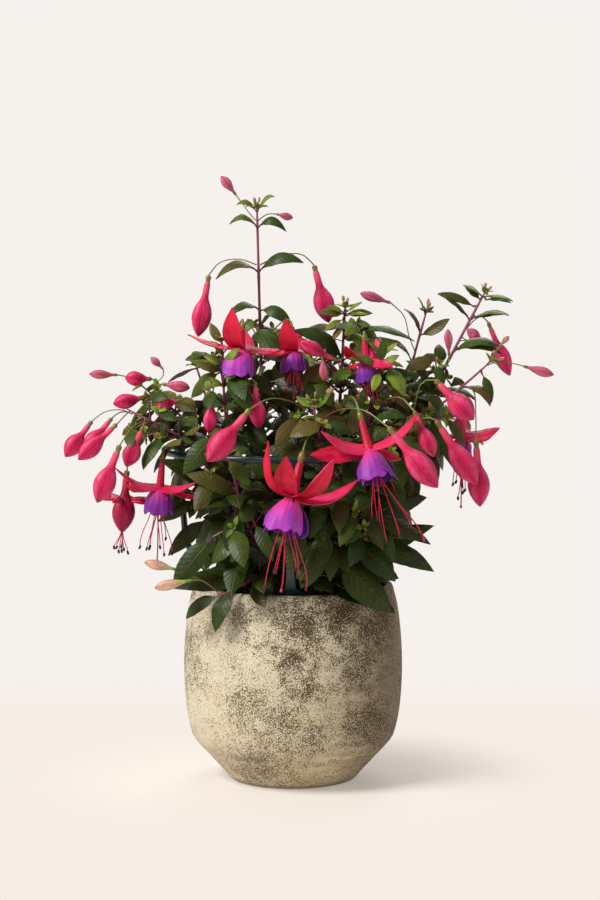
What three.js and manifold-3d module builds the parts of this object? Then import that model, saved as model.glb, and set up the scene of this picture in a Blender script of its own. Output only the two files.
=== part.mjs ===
// A flowering fuchsia in a round glazed pot of soil. Leafy stems grow through a plastic hoop on three
// legs, and carry hanging blooms and sprays of buds.
// Millimetres, +Z up, with the front of the plant at -Y. The origin is the centre of the pot's foot.
import * as THREE from "three";
import { mergeVertices } from "three/addons/utils/BufferGeometryUtils.js";
import Module from "manifold-3d";

const wasm = await Module();
wasm.setup();
const { Vector3 } = THREE;
const upward = new Vector3(0, 0, 1);
const seat = 0.35; // the clearance between two pieces that touch
const clearance = 0.4; // the least gap between leaves of different stems
const smoothing = 0.05; // joined surfaces lose the slivers that are finer than this

// The glazed pot, as radius and height: a narrow foot, a coned shoulder, a wide belly and a drawn-in
// rim.
const pot = {
  outside: [
    [53.5, 0],
    [56, 1.8],
    [84.5, 33.5],
    [88.6, 41],
    [93, 62],
    [95, 92],
    [94.2, 122],
    [91.4, 148],
    [87.2, 166.4],
    [84.8, 170.4],
    [82, 170.4],
    [80.2, 167.6],
  ],
  inside: [
    [81.8, 160],
    [87.6, 122],
    [87, 62],
    [79, 38],
    [52, 10],
  ],
  floor: 10,
  segments: 28,
};

// The top of the soil is a low mound, as radius and height.
const soil = {
  top: [
    [81, 157],
    [66, 157],
    [44, 159.5],
    [22, 161.5],
  ],
  middle: 160,
  lump: { height: 1.1, length: 7, width: 6 },
};
const soilEdge = soil.top[0][1];

// The hoop and its three legs, one of them at the front. A leg's route is its radius, height and width
// on the way down.
const hoop = { radius: 110, height: 286, thickness: 4.2, depth: 5.6, centreX: -2, segments: 28, sides: 6 };
const socket = { width: 10, depth: 7, height: 13, overlap: 2 };
const socketTop = hoop.height - hoop.depth / 2 + socket.overlap;
const leg = {
  thickness: 3,
  angles: { front: -90, right: 30, left: 154 },
  route: [
    [hoop.radius, socketTop - socket.height - seat, 6],
    [107.5, 240, 6],
    [104.5, 205, 6],
    [98, 189, 6.5],
    [83, 176.5, 9],
    [76, 172.5, 21],
    [74.8, 169, 26],
    [74.5, soilEdge + seat, 26],
    [74.5, soilEdge + seat - 0.05, 8],
    [74.5, 128, 5],
  ],
};

// The view that the stems and flowers are placed in: 600 x 900 picture units, seen from the front of
// the plant.
const view = { eyeX: 6, eyeHeight: 447, distance: 2000, focal: 2316 };
const pitch = THREE.MathUtils.degToRad(4.61);
const pictureCentre = { across: 300, down: 450 };

// The point that is seen at a place in the picture and lies a given distance in front of the pot's
// axis.
function spot([across, down, near]) {
  const right = across - pictureCentre.across;
  const up = pictureCentre.down - down;
  const forward = view.focal * Math.cos(pitch) + up * Math.sin(pitch);
  const rise = up * Math.cos(pitch) - view.focal * Math.sin(pitch);
  const reach = (view.distance - near) / forward;
  return new Vector3(view.eyeX + right * reach, -near, view.eyeHeight + rise * reach);
}

const rootHeight = 128; // where the stems start in the soil
const stem = { sides: 4, steps: 8, thinning: 0.5, holeGap: 0.48 };

// A leaf's outline is its share of the length and part of the half width. Leaves face away from an
// axis behind the middle of the pot, and up by a share of that. The lowest leaves droop most.
const leafShape = {
  outline: [
    [0.33, 0.82],
    [0.55, 1],
    [0.8, 0.62],
    [1, 0],
  ],
  stalkShare: 0.13,
  thickness: 0.9,
  fold: 0.09,
  petiole: 0.5,
  inset: 0.45,
  lightCentre: 35,
  facingUp: 0.6,
  lowDroop: 34,
};

// A stem runs from its root in the soil over its bends to its tip, which are places in the view. Its
// joints are shares of its length and carry pairs of leaves, as long as leaf. A joint in leaves has
// only the leaves given there, by their tip, width and how far they arch. Its buds have an ovary, a
// tip and a girth.
const stems = [
  {
    name: "stem_leader",
    root: [-16, 8],
    bends: [[266, 500, 0], [261, 360, 4]],
    tip: [257, 209, 6],
    girth: 1.9,
    leaf: 46,
    joints: [0.24, 0.4, 0.54, 0.667],
    leaves: [
      { at: 0.762, tip: [228, 316, 20], width: 14, arch: 5 },
      { at: 0.762, tip: [294, 326, 16], width: 15, arch: 6 },
      { at: 0.851, tip: [214, 278, 18], width: 15, arch: 8 },
      { at: 0.851, tip: [305, 261, 20], width: 15, arch: 7 },
      { at: 0.954, tip: [227, 222, 12], width: 11, arch: 6 },
      { at: 0.954, tip: [288, 231, 14], width: 11, arch: 7 },
      { at: 0.99, tip: [236, 204, 10], width: 7, arch: 2 },
      { at: 0.99, tip: [275, 196, 10], width: 7, arch: 1 },
    ],
    buds: [
      { at: 0.97, ovary: [236, 195, -4], tip: [221, 176, -2], girth: 9 },
      { at: 0.97, ovary: [276, 214, -8], tip: [293, 218, -6], girth: 7.5 },
    ],
  },
  {
    name: "stem_centre",
    root: [10, -2],
    bends: [[318, 520, 14], [337, 430, 24]],
    tip: [345, 308, 26],
    girth: 2.1,
    leaf: 52,
    joints: [0.26, 0.42, 0.57, 0.71],
    leaves: [
      { at: 0.84, tip: [293, 335, 50], width: 17, arch: 8 },
      { at: 0.84, tip: [402, 338, 44], width: 18, arch: 9 },
      { at: 0.98, tip: [318, 311, 36], width: 9, arch: 3 },
      { at: 0.98, tip: [373, 312, 30], width: 8, arch: 2 },
    ],
    buds: [
      { at: 0.9, ovary: [337, 361, 62], tip: [299, 342, 78], girth: 13 },
      { at: 0.9, ovary: [322, 356, 48], tip: [325, 382, 54], girth: 9 },
    ],
  },
  {
    name: "stem_right_inner",
    root: [26, 16],
    bends: [[335, 520, -12], [388, 440, -30]],
    tip: [426, 313, -26],
    girth: 1.9,
    leaf: 50,
    joints: [0.22, 0.38, 0.55, 0.71],
    leaves: [
      { at: 0.84, tip: [388, 338, -10], width: 14, arch: 6 },
      { at: 0.84, tip: [447, 352, -6], width: 14, arch: 6 },
      { at: 0.93, tip: [447, 318, -20], width: 12, arch: 4 },
      { at: 0.93, tip: [406, 306, -30], width: 10, arch: 4 },
      { at: 0.99, tip: [420, 296, -20], width: 7, arch: 1 },
    ],
    buds: [{ at: 0.88, ovary: [391, 303, -4], tip: [360, 293, 2], girth: 9.5 }],
  },
  {
    name: "stem_right_outer",
    root: [36, 0],
    bends: [[352, 520, 16], [410, 430, 30]],
    tip: [484, 294, 16],
    girth: 2.1,
    leaf: 50,
    joints: [0.24, 0.41, 0.57],
    leaves: [
      { at: 0.7, tip: [408, 358, 40], width: 15, arch: 7 },
      { at: 0.7, tip: [478, 398, 56], width: 15, arch: 8 },
      { at: 0.82, tip: [503, 343, 34], width: 14, arch: 9 },
      { at: 0.92, tip: [439, 291, 24], width: 12, arch: 4 },
      { at: 0.92, tip: [510, 313, 28], width: 11, arch: 5 },
      { at: 0.99, tip: [464, 283, 22], width: 8, arch: 2 },
      { at: 0.99, tip: [514, 300, 20], width: 8, arch: 3 },
    ],
    buds: [
      { at: 0.8, ovary: [449, 356, 58], tip: [448, 329, 62], girth: 8 },
      { at: 0.86, ovary: [484, 342, 6], tip: [467, 329, 0], girth: 9.5 },
    ],
  },
  {
    name: "stem_right_low",
    root: [34, -22],
    bends: [[350, 545, 46], [396, 450, 56]],
    tip: [490, 362, 52],
    girth: 1.8,
    leaf: 52,
    joints: [0.54, 0.72],
    leaves: [
      { at: 0.24, tip: [434, 524, 66], width: 21, arch: 8 },
      { at: 0.4, tip: [428, 497, 44], width: 19, arch: 7 },
      { at: 0.4, tip: [352, 470, 84], width: 17, arch: 7 },
      { at: 0.88, tip: [493, 405, 62], width: 12, arch: 7 },
      { at: 0.88, tip: [450, 392, 28], width: 12, arch: 6 },
    ],
    buds: [
      { at: 0.98, ovary: [523, 366, 50], tip: [554, 375, 52], girth: 9.5 },
      { at: 0.98, ovary: [500, 346, 60], tip: [509, 336, 64], girth: 5 },
    ],
  },
  {
    name: "stem_left_outer",
    root: [-36, -10],
    bends: [[244, 530, 36], [196, 450, 48]],
    tip: [127, 409, 44],
    girth: 1.9,
    leaf: 50,
    joints: [0.22, 0.38, 0.68, 0.84],
    leaves: [
      { at: 0.53, tip: [163, 452, 84], width: 19, arch: 7 },
      { at: 0.53, tip: [181, 474, 66], width: 19, arch: 7 },
    ],
    buds: [],
  },
  {
    name: "stem_left_upper",
    root: [-36, 14],
    bends: [[250, 520, -6], [206, 440, 0]],
    tip: [142, 386, 8],
    girth: 1.8,
    leaf: 48,
    joints: [0.22, 0.4, 0.58, 0.87],
    leaves: [
      { at: 0.75, tip: [213, 408, 30], width: 15, arch: 7 },
      { at: 0.75, tip: [140, 430, 4], width: 14, arch: 7 },
    ],
    buds: [
      { at: 0.98, ovary: [118, 375, 22], tip: [89, 374, 26], girth: 9 },
      { at: 0.98, ovary: [163, 369, 8], tip: [151, 357, 6], girth: 7 },
    ],
  },
  {
    name: "stem_front_centre",
    root: [4, -30],
    bends: [[322, 545, 66], [324, 470, 90]],
    tip: [313, 404, 84],
    girth: 1.9,
    leaf: 54,
    joints: [0.48, 0.63],
    leaves: [
      { at: 0.33, tip: [304, 584, 108], width: 22, arch: 9 },
      { at: 0.33, tip: [352, 560, 58], width: 20, arch: 8 },
      { at: 0.8, tip: [262, 450, 96], width: 17, arch: 7 },
      { at: 0.8, tip: [352, 437, 78], width: 14, arch: 6 },
      { at: 0.98, tip: [330, 392, 96], width: 8, arch: 2 },
      { at: 0.98, tip: [296, 390, 74], width: 8, arch: 2 },
    ],
    buds: [{ at: 0.99, ovary: [322, 397, 88], tip: [334, 388, 92], girth: 5 }],
  },
  {
    name: "stem_front_right",
    root: [24, -40],
    bends: [[338, 570, 62], [350, 530, 88]],
    tip: [360, 484, 88],
    girth: 1.8,
    leaf: 52,
    joints: [],
    leaves: [
      { at: 0.3, tip: [396, 611, 104], width: 27, arch: 10 },
      { at: 0.3, tip: [318, 585, 92], width: 20, arch: 8 },
      { at: 0.48, tip: [400, 578, 80], width: 25, arch: 9 },
      { at: 0.66, tip: [437, 571, 82], width: 20, arch: 12 },
      { at: 0.66, tip: [330, 500, 112], width: 17, arch: 7 },
      { at: 0.84, tip: [433, 543, 92], width: 19, arch: 9 },
      { at: 0.84, tip: [344, 462, 96], width: 15, arch: 6 },
      { at: 0.99, tip: [392, 470, 84], width: 14, arch: 5 },
    ],
    buds: [],
  },
  {
    name: "stem_front_left",
    root: [-20, -38],
    bends: [[264, 560, 62], [246, 520, 84]],
    tip: [228, 456, 84],
    girth: 1.8,
    leaf: 50,
    joints: [0.64],
    leaves: [
      { at: 0.32, tip: [172, 586, 84], width: 23, arch: 10 },
      { at: 0.32, tip: [262, 590, 104], width: 19, arch: 8 },
      { at: 0.48, tip: [230, 560, 106], width: 21, arch: 9 },
      { at: 0.8, tip: [240, 508, 112], width: 17, arch: 7 },
      { at: 0.8, tip: [186, 470, 98], width: 17, arch: 7 },
      { at: 0.98, tip: [204, 442, 92], width: 10, arch: 4 },
      { at: 0.98, tip: [250, 446, 84], width: 10, arch: 4 },
    ],
    buds: [],
  },
  {
    name: "stem_mid_left",
    root: [-22, -16],
    bends: [[256, 510, 26], [228, 430, 48]],
    tip: [222, 342, 50],
    girth: 1.8,
    leaf: 48,
    joints: [0.24, 0.42, 0.59, 0.76],
    leaves: [
      { at: 0.9, tip: [192, 360, 62], width: 11, arch: 4 },
      { at: 0.9, tip: [252, 366, 40], width: 11, arch: 4 },
      { at: 0.99, tip: [210, 322, 46], width: 8, arch: 2 },
    ],
    buds: [],
  },
  {
    name: "stem_mid_right",
    root: [20, -20],
    bends: [[330, 520, 36], [362, 450, 52]],
    tip: [382, 352, 50],
    girth: 1.8,
    leaf: 48,
    joints: [0.26, 0.43, 0.6],
    leaves: [
      { at: 0.76, tip: [408, 414, 74], width: 17, arch: 8 },
      { at: 0.76, tip: [330, 424, 56], width: 15, arch: 7 },
      { at: 0.9, tip: [414, 372, 62], width: 12, arch: 5 },
      { at: 0.9, tip: [352, 386, 44], width: 12, arch: 5 },
    ],
    buds: [],
  },
  {
    name: "stem_back_left",
    root: [-20, 34],
    bends: [[262, 500, -46], [222, 440, -84]],
    tip: [196, 366, -84],
    girth: 1.9,
    leaf: 54,
    joints: [0.17, 0.31, 0.45, 0.59, 0.73, 0.87, 0.99],
    leaves: [],
    buds: [],
  },
  {
    name: "stem_back_centre",
    root: [4, 38],
    bends: [[292, 500, -58], [298, 430, -104]],
    tip: [304, 344, -104],
    girth: 1.9,
    leaf: 54,
    joints: [0.17, 0.31, 0.45, 0.59, 0.73, 0.87, 0.99],
    leaves: [],
    buds: [],
  },
  {
    name: "stem_back_right",
    root: [28, 36],
    bends: [[332, 500, -50], [372, 450, -90]],
    tip: [392, 372, -92],
    girth: 1.9,
    leaf: 54,
    joints: [0.17, 0.31, 0.45, 0.59, 0.73, 0.87, 0.99],
    leaves: [],
    buds: [],
  },
  {
    name: "stem_trailing",
    root: [-38, -38],
    bends: [[254, 580, 62], [240, 586, 76]],
    tip: [219, 596, 82],
    girth: 1.5,
    leaf: 30,
    joints: [],
    leaves: [
      { at: 0.62, tip: [264, 607, 98], width: 15, arch: 4 },
      { at: 0.84, tip: [213, 633, 86], width: 16, arch: 8 },
      { at: 0.97, tip: [183, 619, 72], width: 12, arch: 6 },
    ],
    buds: [],
  },
];

// Open blooms: the ovary, the throat below it where sepals and skirt begin, the four sepal tips, the
// skirt's depth and the radius of its hem, and where the stamens end. The pedicel comes from the named
// stem.
const blooms = [
  {
    name: "bloom_upper_left",
    stem: "stem_mid_left",
    at: 0.96,
    ovary: [243, 322, 57],
    throat: [239, 348, 60],
    sepals: [[233, 307, 74], [188, 333, 70], [283, 349, 66], [246, 330, 22]],
    sepalWidth: 18,
    skirt: { depth: 25, mouth: 13.5 },
    stamens: [[244, 408, 62], [231, 398, 70], [250, 396, 66], [238, 390, 54]],
  },
  {
    name: "bloom_upper_middle",
    stem: "stem_leader",
    at: 0.68,
    ovary: [292, 326, 38],
    throat: [293, 351, 42],
    sepals: [[286, 318, 58], [266, 357, 52], [320, 352, 36], [297, 330, 12]],
    sepalWidth: 16,
    skirt: { depth: 20, mouth: 12 },
    stamens: [[294, 398, 44], [286, 390, 50], [303, 392, 48], [294, 384, 36]],
  },
  {
    name: "bloom_upper_right",
    stem: "stem_mid_right",
    at: 0.96,
    ovary: [364, 334, 60],
    throat: [366, 360, 64],
    sepals: [[346, 345, 80], [393, 366, 80], [376, 338, 44], [347, 366, 46]],
    sepalWidth: 16,
    skirt: { depth: 20, mouth: 11.5 },
    stamens: [[368, 408, 66], [359, 400, 72], [378, 402, 70], [366, 394, 56]],
  },
  {
    name: "bloom_centre",
    stem: "stem_front_centre",
    at: 0.9,
    ovary: [303, 451, 118],
    throat: [292, 497, 128],
    sepals: [[287, 455, 156], [270, 441, 125], [333, 458, 144], [358, 478, 118]],
    sepalWidth: 20,
    skirt: { depth: 31, mouth: 18 },
    stamens: [[265, 587, 136], [281, 591, 142], [306, 589, 132], [274, 572, 124], [296, 570, 140]],
  },
  {
    name: "bloom_right",
    stem: "stem_centre",
    at: 0.66,
    ovary: [359, 411, 100],
    throat: [369, 449, 112],
    sepals: [[322, 430, 128], [310, 454, 124], [417, 412, 114], [402, 458, 90]],
    sepalWidth: 18,
    skirt: { depth: 29, mouth: 16 },
    stamens: [[372, 516, 120], [387, 542, 118], [400, 536, 124], [424, 540, 114], [380, 524, 106]],
  },
  {
    name: "bloom_left",
    stem: "stem_left_outer",
    at: 0.76,
    ovary: [163, 452, 62],
    throat: [160, 488, 64],
    sepals: [[115, 466, 84], [196, 481, 92], [207, 497, 46], [126, 484, 30]],
    sepalWidth: 16,
    skirt: { depth: 24, mouth: 13 },
    stamens: [[140, 547, 72], [157, 561, 66], [172, 553, 72], [160, 547, 56]],
  },
  {
    name: "bloom_far_right",
    stem: "stem_right_low",
    at: 0.8,
    ovary: [463, 402, 34],
    throat: [462, 436, 30],
    sepals: [[499, 427, 44], [462, 411, -8], [430, 448, 4], [484, 444, -2]],
    sepalWidth: 16,
    skirt: { depth: 24, mouth: 13 },
    stamens: [[453, 484, 34], [458, 498, 40], [461, 507, 30], [465, 490, 26]],
  },
  {
    name: "bloom_back",
    stem: "stem_back_centre",
    at: 0.84,
    ovary: [318, 432, -138],
    throat: [321, 466, -146],
    sepals: [[346, 440, -166], [292, 444, -164], [300, 458, -112], [348, 470, -122]],
    sepalWidth: 18,
    skirt: { depth: 27, mouth: 15 },
    stamens: [[318, 528, -152], [326, 540, -148], [331, 532, -156], [314, 536, -142]],
  },
];

// Sprays of large buds, whose pedicels part from one knuckle on the named stem.
const sprays = [
  {
    name: "buds_leader_left",
    stem: "stem_leader",
    at: 0.87,
    buds: [{ ovary: [209, 275, -6], tip: [198, 337, -4], girth: 18.5 }],
  },
  {
    name: "buds_leader_right",
    stem: "stem_leader",
    at: 0.87,
    buds: [{ ovary: [314, 265, -8], tip: [329, 323, -2], girth: 19.5 }],
  },
  {
    name: "buds_right_behind",
    stem: "stem_right_outer",
    at: 0.9,
    buds: [{ ovary: [488, 322, -6], tip: [510, 376, 4], girth: 15 }],
  },
  {
    name: "buds_right_upper",
    stem: "stem_right_low",
    at: 0.66,
    buds: [{ ovary: [435, 380, 92], tip: [474, 420, 98], girth: 21 }],
  },
  {
    name: "buds_right_middle",
    stem: "stem_mid_right",
    at: 0.8,
    buds: [{ ovary: [414, 411, 106], tip: [434, 457, 112], girth: 15.5 }],
  },
  {
    name: "buds_right_lower",
    stem: "stem_right_low",
    at: 0.62,
    buds: [{ ovary: [436, 420, 82], tip: [477, 485, 84], girth: 21 }],
  },
  {
    name: "buds_right_lowest",
    stem: "stem_right_low",
    at: 0.9,
    buds: [{ ovary: [476, 440, 56], tip: [480, 507, 62], girth: 20 }],
  },
  {
    name: "buds_front_right",
    stem: "stem_front_centre",
    at: 0.93,
    buds: [{ ovary: [388, 427, 140], tip: [438, 488, 146], girth: 21.5 }],
  },
  {
    name: "buds_front_left",
    stem: "stem_front_centre",
    at: 0.96,
    buds: [{ ovary: [250, 409, 118], tip: [207, 462, 126], girth: 21 }],
  },
  {
    name: "buds_left_middle",
    stem: "stem_mid_left",
    at: 0.8,
    buds: [{ ovary: [255, 382, 66], tip: [259, 429, 70], girth: 16 }],
  },
  {
    name: "buds_left_centre",
    stem: "stem_left_upper",
    at: 0.7,
    buds: [{ ovary: [213, 392, 66], tip: [209, 434, 70], girth: 13 }],
  },
  {
    name: "buds_left_top",
    stem: "stem_left_upper",
    at: 0.94,
    buds: [{ ovary: [152, 379, 26], tip: [125, 378, 32], girth: 14 }],
  },
  {
    name: "buds_left_inner",
    stem: "stem_left_upper",
    at: 0.9,
    buds: [
      { ovary: [162, 384, 40], tip: [190, 388, 44], girth: 11 },
      { ovary: [180, 401, 46], tip: [155, 405, 52], girth: 13 },
    ],
  },
  {
    name: "buds_left_shoulder",
    stem: "stem_left_upper",
    at: 0.92,
    buds: [{ ovary: [146, 397, 23], tip: [113, 404, 29], girth: 14.5 }],
  },
  {
    name: "buds_left_low",
    stem: "stem_left_outer",
    at: 0.97,
    buds: [
      { ovary: [92, 421, 40], tip: [65, 457, 44], girth: 16.5 },
      { ovary: [112, 418, 62], tip: [84, 452, 66], girth: 15.5 },
      { ovary: [117, 424, 84], tip: [78, 460, 88], girth: 16 },
    ],
  },
  {
    name: "buds_left_hanging",
    stem: "stem_left_outer",
    at: 0.93,
    buds: [{ ovary: [143, 427, 66], tip: [126, 467, 68], girth: 16.5 }],
  },
  {
    name: "buds_left_front",
    stem: "stem_left_outer",
    at: 0.86,
    buds: [{ ovary: [120, 445, 104], tip: [97, 503, 108], girth: 19.5 }],
  },
  {
    name: "buds_half_open",
    stem: "stem_left_outer",
    at: 0.9,
    buds: [{ ovary: [127, 470, 24], tip: [122, 533, 26], girth: 21 }],
  },
  {
    name: "buds_trailing",
    stem: "stem_trailing",
    at: 0.99,
    buds: [
      { ovary: [192, 580, 96], tip: [154, 588, 98], girth: 9.5 },
      { ovary: [178, 570, 86], tip: [144, 562, 84], girth: 9 },
    ],
  },
];

// Joining and cutting.

// A three.js geometry as a solid: its corners are merged, so that the surface is closed.
function solidOf(geometry) {
  const bare = geometry.clone();
  bare.deleteAttribute("normal");
  bare.deleteAttribute("uv");
  const merged = mergeVertices(bare, 1e-4);
  const vertProperties = Float32Array.from(merged.attributes.position.array);
  const triVerts = Uint32Array.from(merged.index.array);
  return new wasm.Manifold(new wasm.Mesh({ numProp: 3, vertProperties, triVerts }));
}

function joined(solids) {
  return wasm.Manifold.union(solids).simplify(smoothing);
}

// The two triangles between two rings that start at low and high, split along one diagonal or the
// other.
function squareFaces(low, high, j, next, rising) {
  if (rising) return [[low + j, low + next, high + next], [low + j, high + next, high + j]];
  return [[low + j, low + next, high + j], [low + next, high + next, high + j]];
}

// A closed skin over rings of points that run the same way round. The last ring may be a single tip.
// The second half of each ring is split into triangles as the first is, so that the two faces of a
// thin blade never cross.
function skin(rings) {
  const count = rings[0].length;
  const faces = [];
  for (let k = 2; k < count; k++) faces.push([0, k, k - 1]);
  let low = 0;
  for (const ring of rings.slice(1)) {
    const high = low + count;
    for (let j = 0; j < count; j++) {
      const next = (j + 1) % count;
      if (ring.length === 1) faces.push([low + j, low + next, high]);
      else faces.push(...squareFaces(low, high, j, next, j < count / 2));
    }
    low = high;
  }
  if (rings.at(-1).length > 1) for (let k = 2; k < count; k++) faces.push([low, low + k - 1, low + k]);
  return outwardSolid(rings.flat(), faces);
}

// A closed skin over rings of points that follow one another round a loop.
function closedSkin(rings) {
  const count = rings[0].length;
  const faces = [];
  rings.forEach((ring, i) => {
    const [low, high] = [i * count, ((i + 1) % rings.length) * count];
    for (let j = 0; j < count; j++) {
      faces.push(...squareFaces(low, high, j, (j + 1) % count, j < count / 2));
    }
  });
  return outwardSolid(rings.flat(), faces);
}

// A solid from points and faces, turned so that the faces point out.
function outwardSolid(points, faces) {
  let volume = 0;
  for (const [a, b, c] of faces) volume += points[a].dot(points[b].clone().cross(points[c]));
  const geometry = new THREE.BufferGeometry().setFromPoints(points);
  geometry.setIndex(faces.flatMap(([a, b, c]) => (volume > 0 ? [a, b, c] : [a, c, b])));
  return solidOf(geometry);
}

// Placing: each solid is kept with its node and joint, and a later one is tested against it.
const placed = [];

function place(solid, node, joint = null) {
  placed.push({ solid, node, joint, box: solid.boundingBox() });
  return solid;
}

function apart(one, other) {
  return [0, 1, 2].some((axis) => one.min[axis] > other.max[axis] + clearance
    || other.min[axis] > one.max[axis] + clearance);
}

// Whether a solid keeps clear of all others. It may meet its own stem and what grows from the same
// joint.
function keepsClear(solid, node, joint) {
  const box = solid.boundingBox();
  return placed.every((other) => {
    const ownWood = other.node === node && (other.joint === null || other.joint === joint);
    return ownWood || apart(box, other.box) || solid.minGap(other.solid, 2 * clearance) >= clearance;
  });
}

// Rounded forms.

// A ring of corners round a centre.
function ringAt(centre, across, over, radius, sides) {
  const ring = [];
  for (let j = 0; j < sides; j++) {
    const turn = (2 * Math.PI * j) / sides;
    const corner = centre.clone().addScaledVector(across, radius * Math.cos(turn));
    ring.push(corner.addScaledVector(over, radius * Math.sin(turn)));
  }
  return ring;
}

// Two directions at right angles to an axis and to each other.
function crossAxes(axis) {
  const helper = Math.abs(axis.z) > 0.9 ? new Vector3(0, 1, 0) : upward;
  const across = helper.clone().cross(axis).normalize();
  return [across, axis.clone().cross(across)];
}

// A round stalk through stations of centre and radius. Its rings turn with the path without twisting,
// and a radius of 0 at the end gives a point.
function stalk(stations, sides) {
  const centres = stations.map(([centre]) => centre);
  let tangent = centres[1].clone().sub(centres[0]).normalize();
  let [across] = crossAxes(tangent);
  return skin(stations.map(([centre, radius], i) => {
    const next = centres[Math.min(i + 1, centres.length - 1)];
    const ahead = next.clone().sub(centres[Math.max(i - 1, 0)]).normalize();
    across = across.clone().applyQuaternion(new THREE.Quaternion().setFromUnitVectors(tangent, ahead));
    tangent = ahead;
    return radius === 0 ? [centre] : ringAt(centre, across, tangent.clone().cross(across), radius, sides);
  }));
}

// A thin pointed blade on a curve: flat below, with a raised midrib above and sharp edges to the
// sides, which bend down by the fold, a share of the blade's half width.
function blade(curve, side, sections, thickness, fold) {
  return skin(sections.map(([share, halfWidth]) => {
    const centre = curve.getPoint(share);
    if (halfWidth === 0) return [centre];
    const over = side.clone().cross(curve.getTangent(share)).normalize();
    const bend = -fold * halfWidth;
    return [
      centre.clone().addScaledVector(side, -halfWidth).addScaledVector(over, bend),
      centre.clone().addScaledVector(over, thickness),
      centre.clone().addScaledVector(side, halfWidth).addScaledVector(over, bend),
    ];
  }));
}

// Stems and leaves.

// The middle line of a stem, as evenly spaced points of a smooth curve through its bends.
function stemLine({ root: [x, y], bends, tip }) {
  const start = new Vector3(x, y, rootHeight);
  const collar = new Vector3(x, y, soil.middle);
  const points = [start, collar, ...bends.map(spot), spot(tip)];
  return new THREE.CatmullRomCurve3(points, false, "catmullrom", 0.5).getSpacedPoints(stem.steps);
}

// The place and direction on the middle line at a share of its length.
function onStem(line, share) {
  const step = Math.min(Math.floor(share * stem.steps), stem.steps - 1);
  const [from, to] = [line[step], line[step + 1]];
  const point = from.clone().lerp(to, share * stem.steps - step);
  return { point, heading: to.clone().sub(from).normalize() };
}

function stemRadius({ girth }, share) {
  return girth * (1 - stem.thinning * share);
}

// A stem's wood, or with extra the hole that it stands in, which is a little deeper as well.
function stemTube(plan, extra) {
  return stalk(stemLine(plan).map((centre, i) => {
    const end = i === 0 ? centre.clone().setZ(rootHeight - extra) : centre;
    return [end, stemRadius(plan, i / stem.steps) + extra];
  }), stem.sides);
}

// A leaf from its base to its tip, whose blade arches towards the side that faces up and out from the
// plant. A leaf with a stalk has one more section, where its stalk widens into the blade.
function leafBlade({ base, tip, width, arch, stalked }) {
  const chord = tip.clone().sub(base).normalize();
  const outward = new Vector3(base.x, base.y - leafShape.lightCentre, 0).normalize();
  const face = outward.addScaledVector(upward, leafShape.facingUp).projectOnPlane(chord).normalize();
  const side = face.clone().cross(chord);
  const middle = base.clone().lerp(tip, 0.5).addScaledVector(face, 2 * arch);
  const start = base.clone().addScaledVector(middle.clone().sub(base).normalize(), leafShape.inset);
  const curve = new THREE.QuadraticBezierCurve3(start, middle, tip);
  const stalkEnd = stalked ? [[leafShape.stalkShare, leafShape.petiole]] : [];
  const outline = leafShape.outline.map(([share, part]) => [share, part * width / 2]);
  const sections = [[0, leafShape.petiole], ...stalkEnd, ...outline];
  return blade(curve, side, sections, leafShape.thickness, leafShape.fold);
}

const firstSeed = 7; // of the random draws of the first stem

// A repeatable random draw between 0 and 1.
function drawer(seed) {
  const [factor, modulus] = [16807, 2147483647];
  let state = seed;
  return () => {
    state = (state * factor) % modulus;
    return state / modulus;
  };
}

const narrowLeaf = 14; // leaves up to this width have no separate stalk

// Leaves placed by rule: bearings in degrees, their length against that of their stem, and the rest
// against their own length.
const ruleLeaf = {
  bearing: 35,
  quarter: 90,
  scatter: 30,
  lowest: 1.08,
  taper: 0.45,
  least: 0.86,
  variation: 0.28,
  forward: 0.3,
  width: 0.5,
  arch: 0.12,
};

// The ways in which a leaf given by its tip may be bent clear of what is there: moved towards or away
// from the front, lifted and arched.
const handBends = [
  [0, 0, 1], [5, 0, 1], [-5, 0, 1], [0, 4, 1.3], [0, -4, 0.7], [10, 0, 1.2], [-10, 0, 0.8], [10, 6, 1.5],
  [-10, -6, 0.5], [16, 0, 1], [-16, 0, 1], [16, 8, 1.8], [-16, -8, 0.3], [22, 4, 1], [-22, -4, 1],
];

// The ways in which a leaf placed by rule may grow: its share of full length, its droop and its turn
// in degrees.
const ruleBends = [
  [1, 22, 0], [1, 40, 0], [1, 5, 0], [1, 22, 24], [1, 22, -24], [1, 58, 0], [1, -14, 0],
  [0.94, 36, 40], [0.94, 36, -40], [0.94, 5, 38], [0.94, 5, -38],
  [0.88, 66, 26], [0.88, 66, -26], [0.88, -24, 20], [0.88, -24, -20],
  [0.8, 18, 62], [0.8, 18, -62], [0.8, 50, 62], [0.8, 50, -62],
  [0.68, 20, 0], [0.68, -8, 50], [0.68, -8, -50],
];

// The leaves that a stem's plan gives by their tips.
function handLeaves(plan, line) {
  return plan.leaves.map(({ at, tip, width, arch }) => {
    const base = onStem(line, at).point;
    const ways = handBends.map(([near, lift, bow]) => {
      const end = spot([tip[0], tip[1], tip[2] + near]);
      end.z += lift;
      return { base, tip: end, width, arch: arch * bow, stalked: width > narrowLeaf };
    });
    return { at, ways };
  });
}

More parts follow.
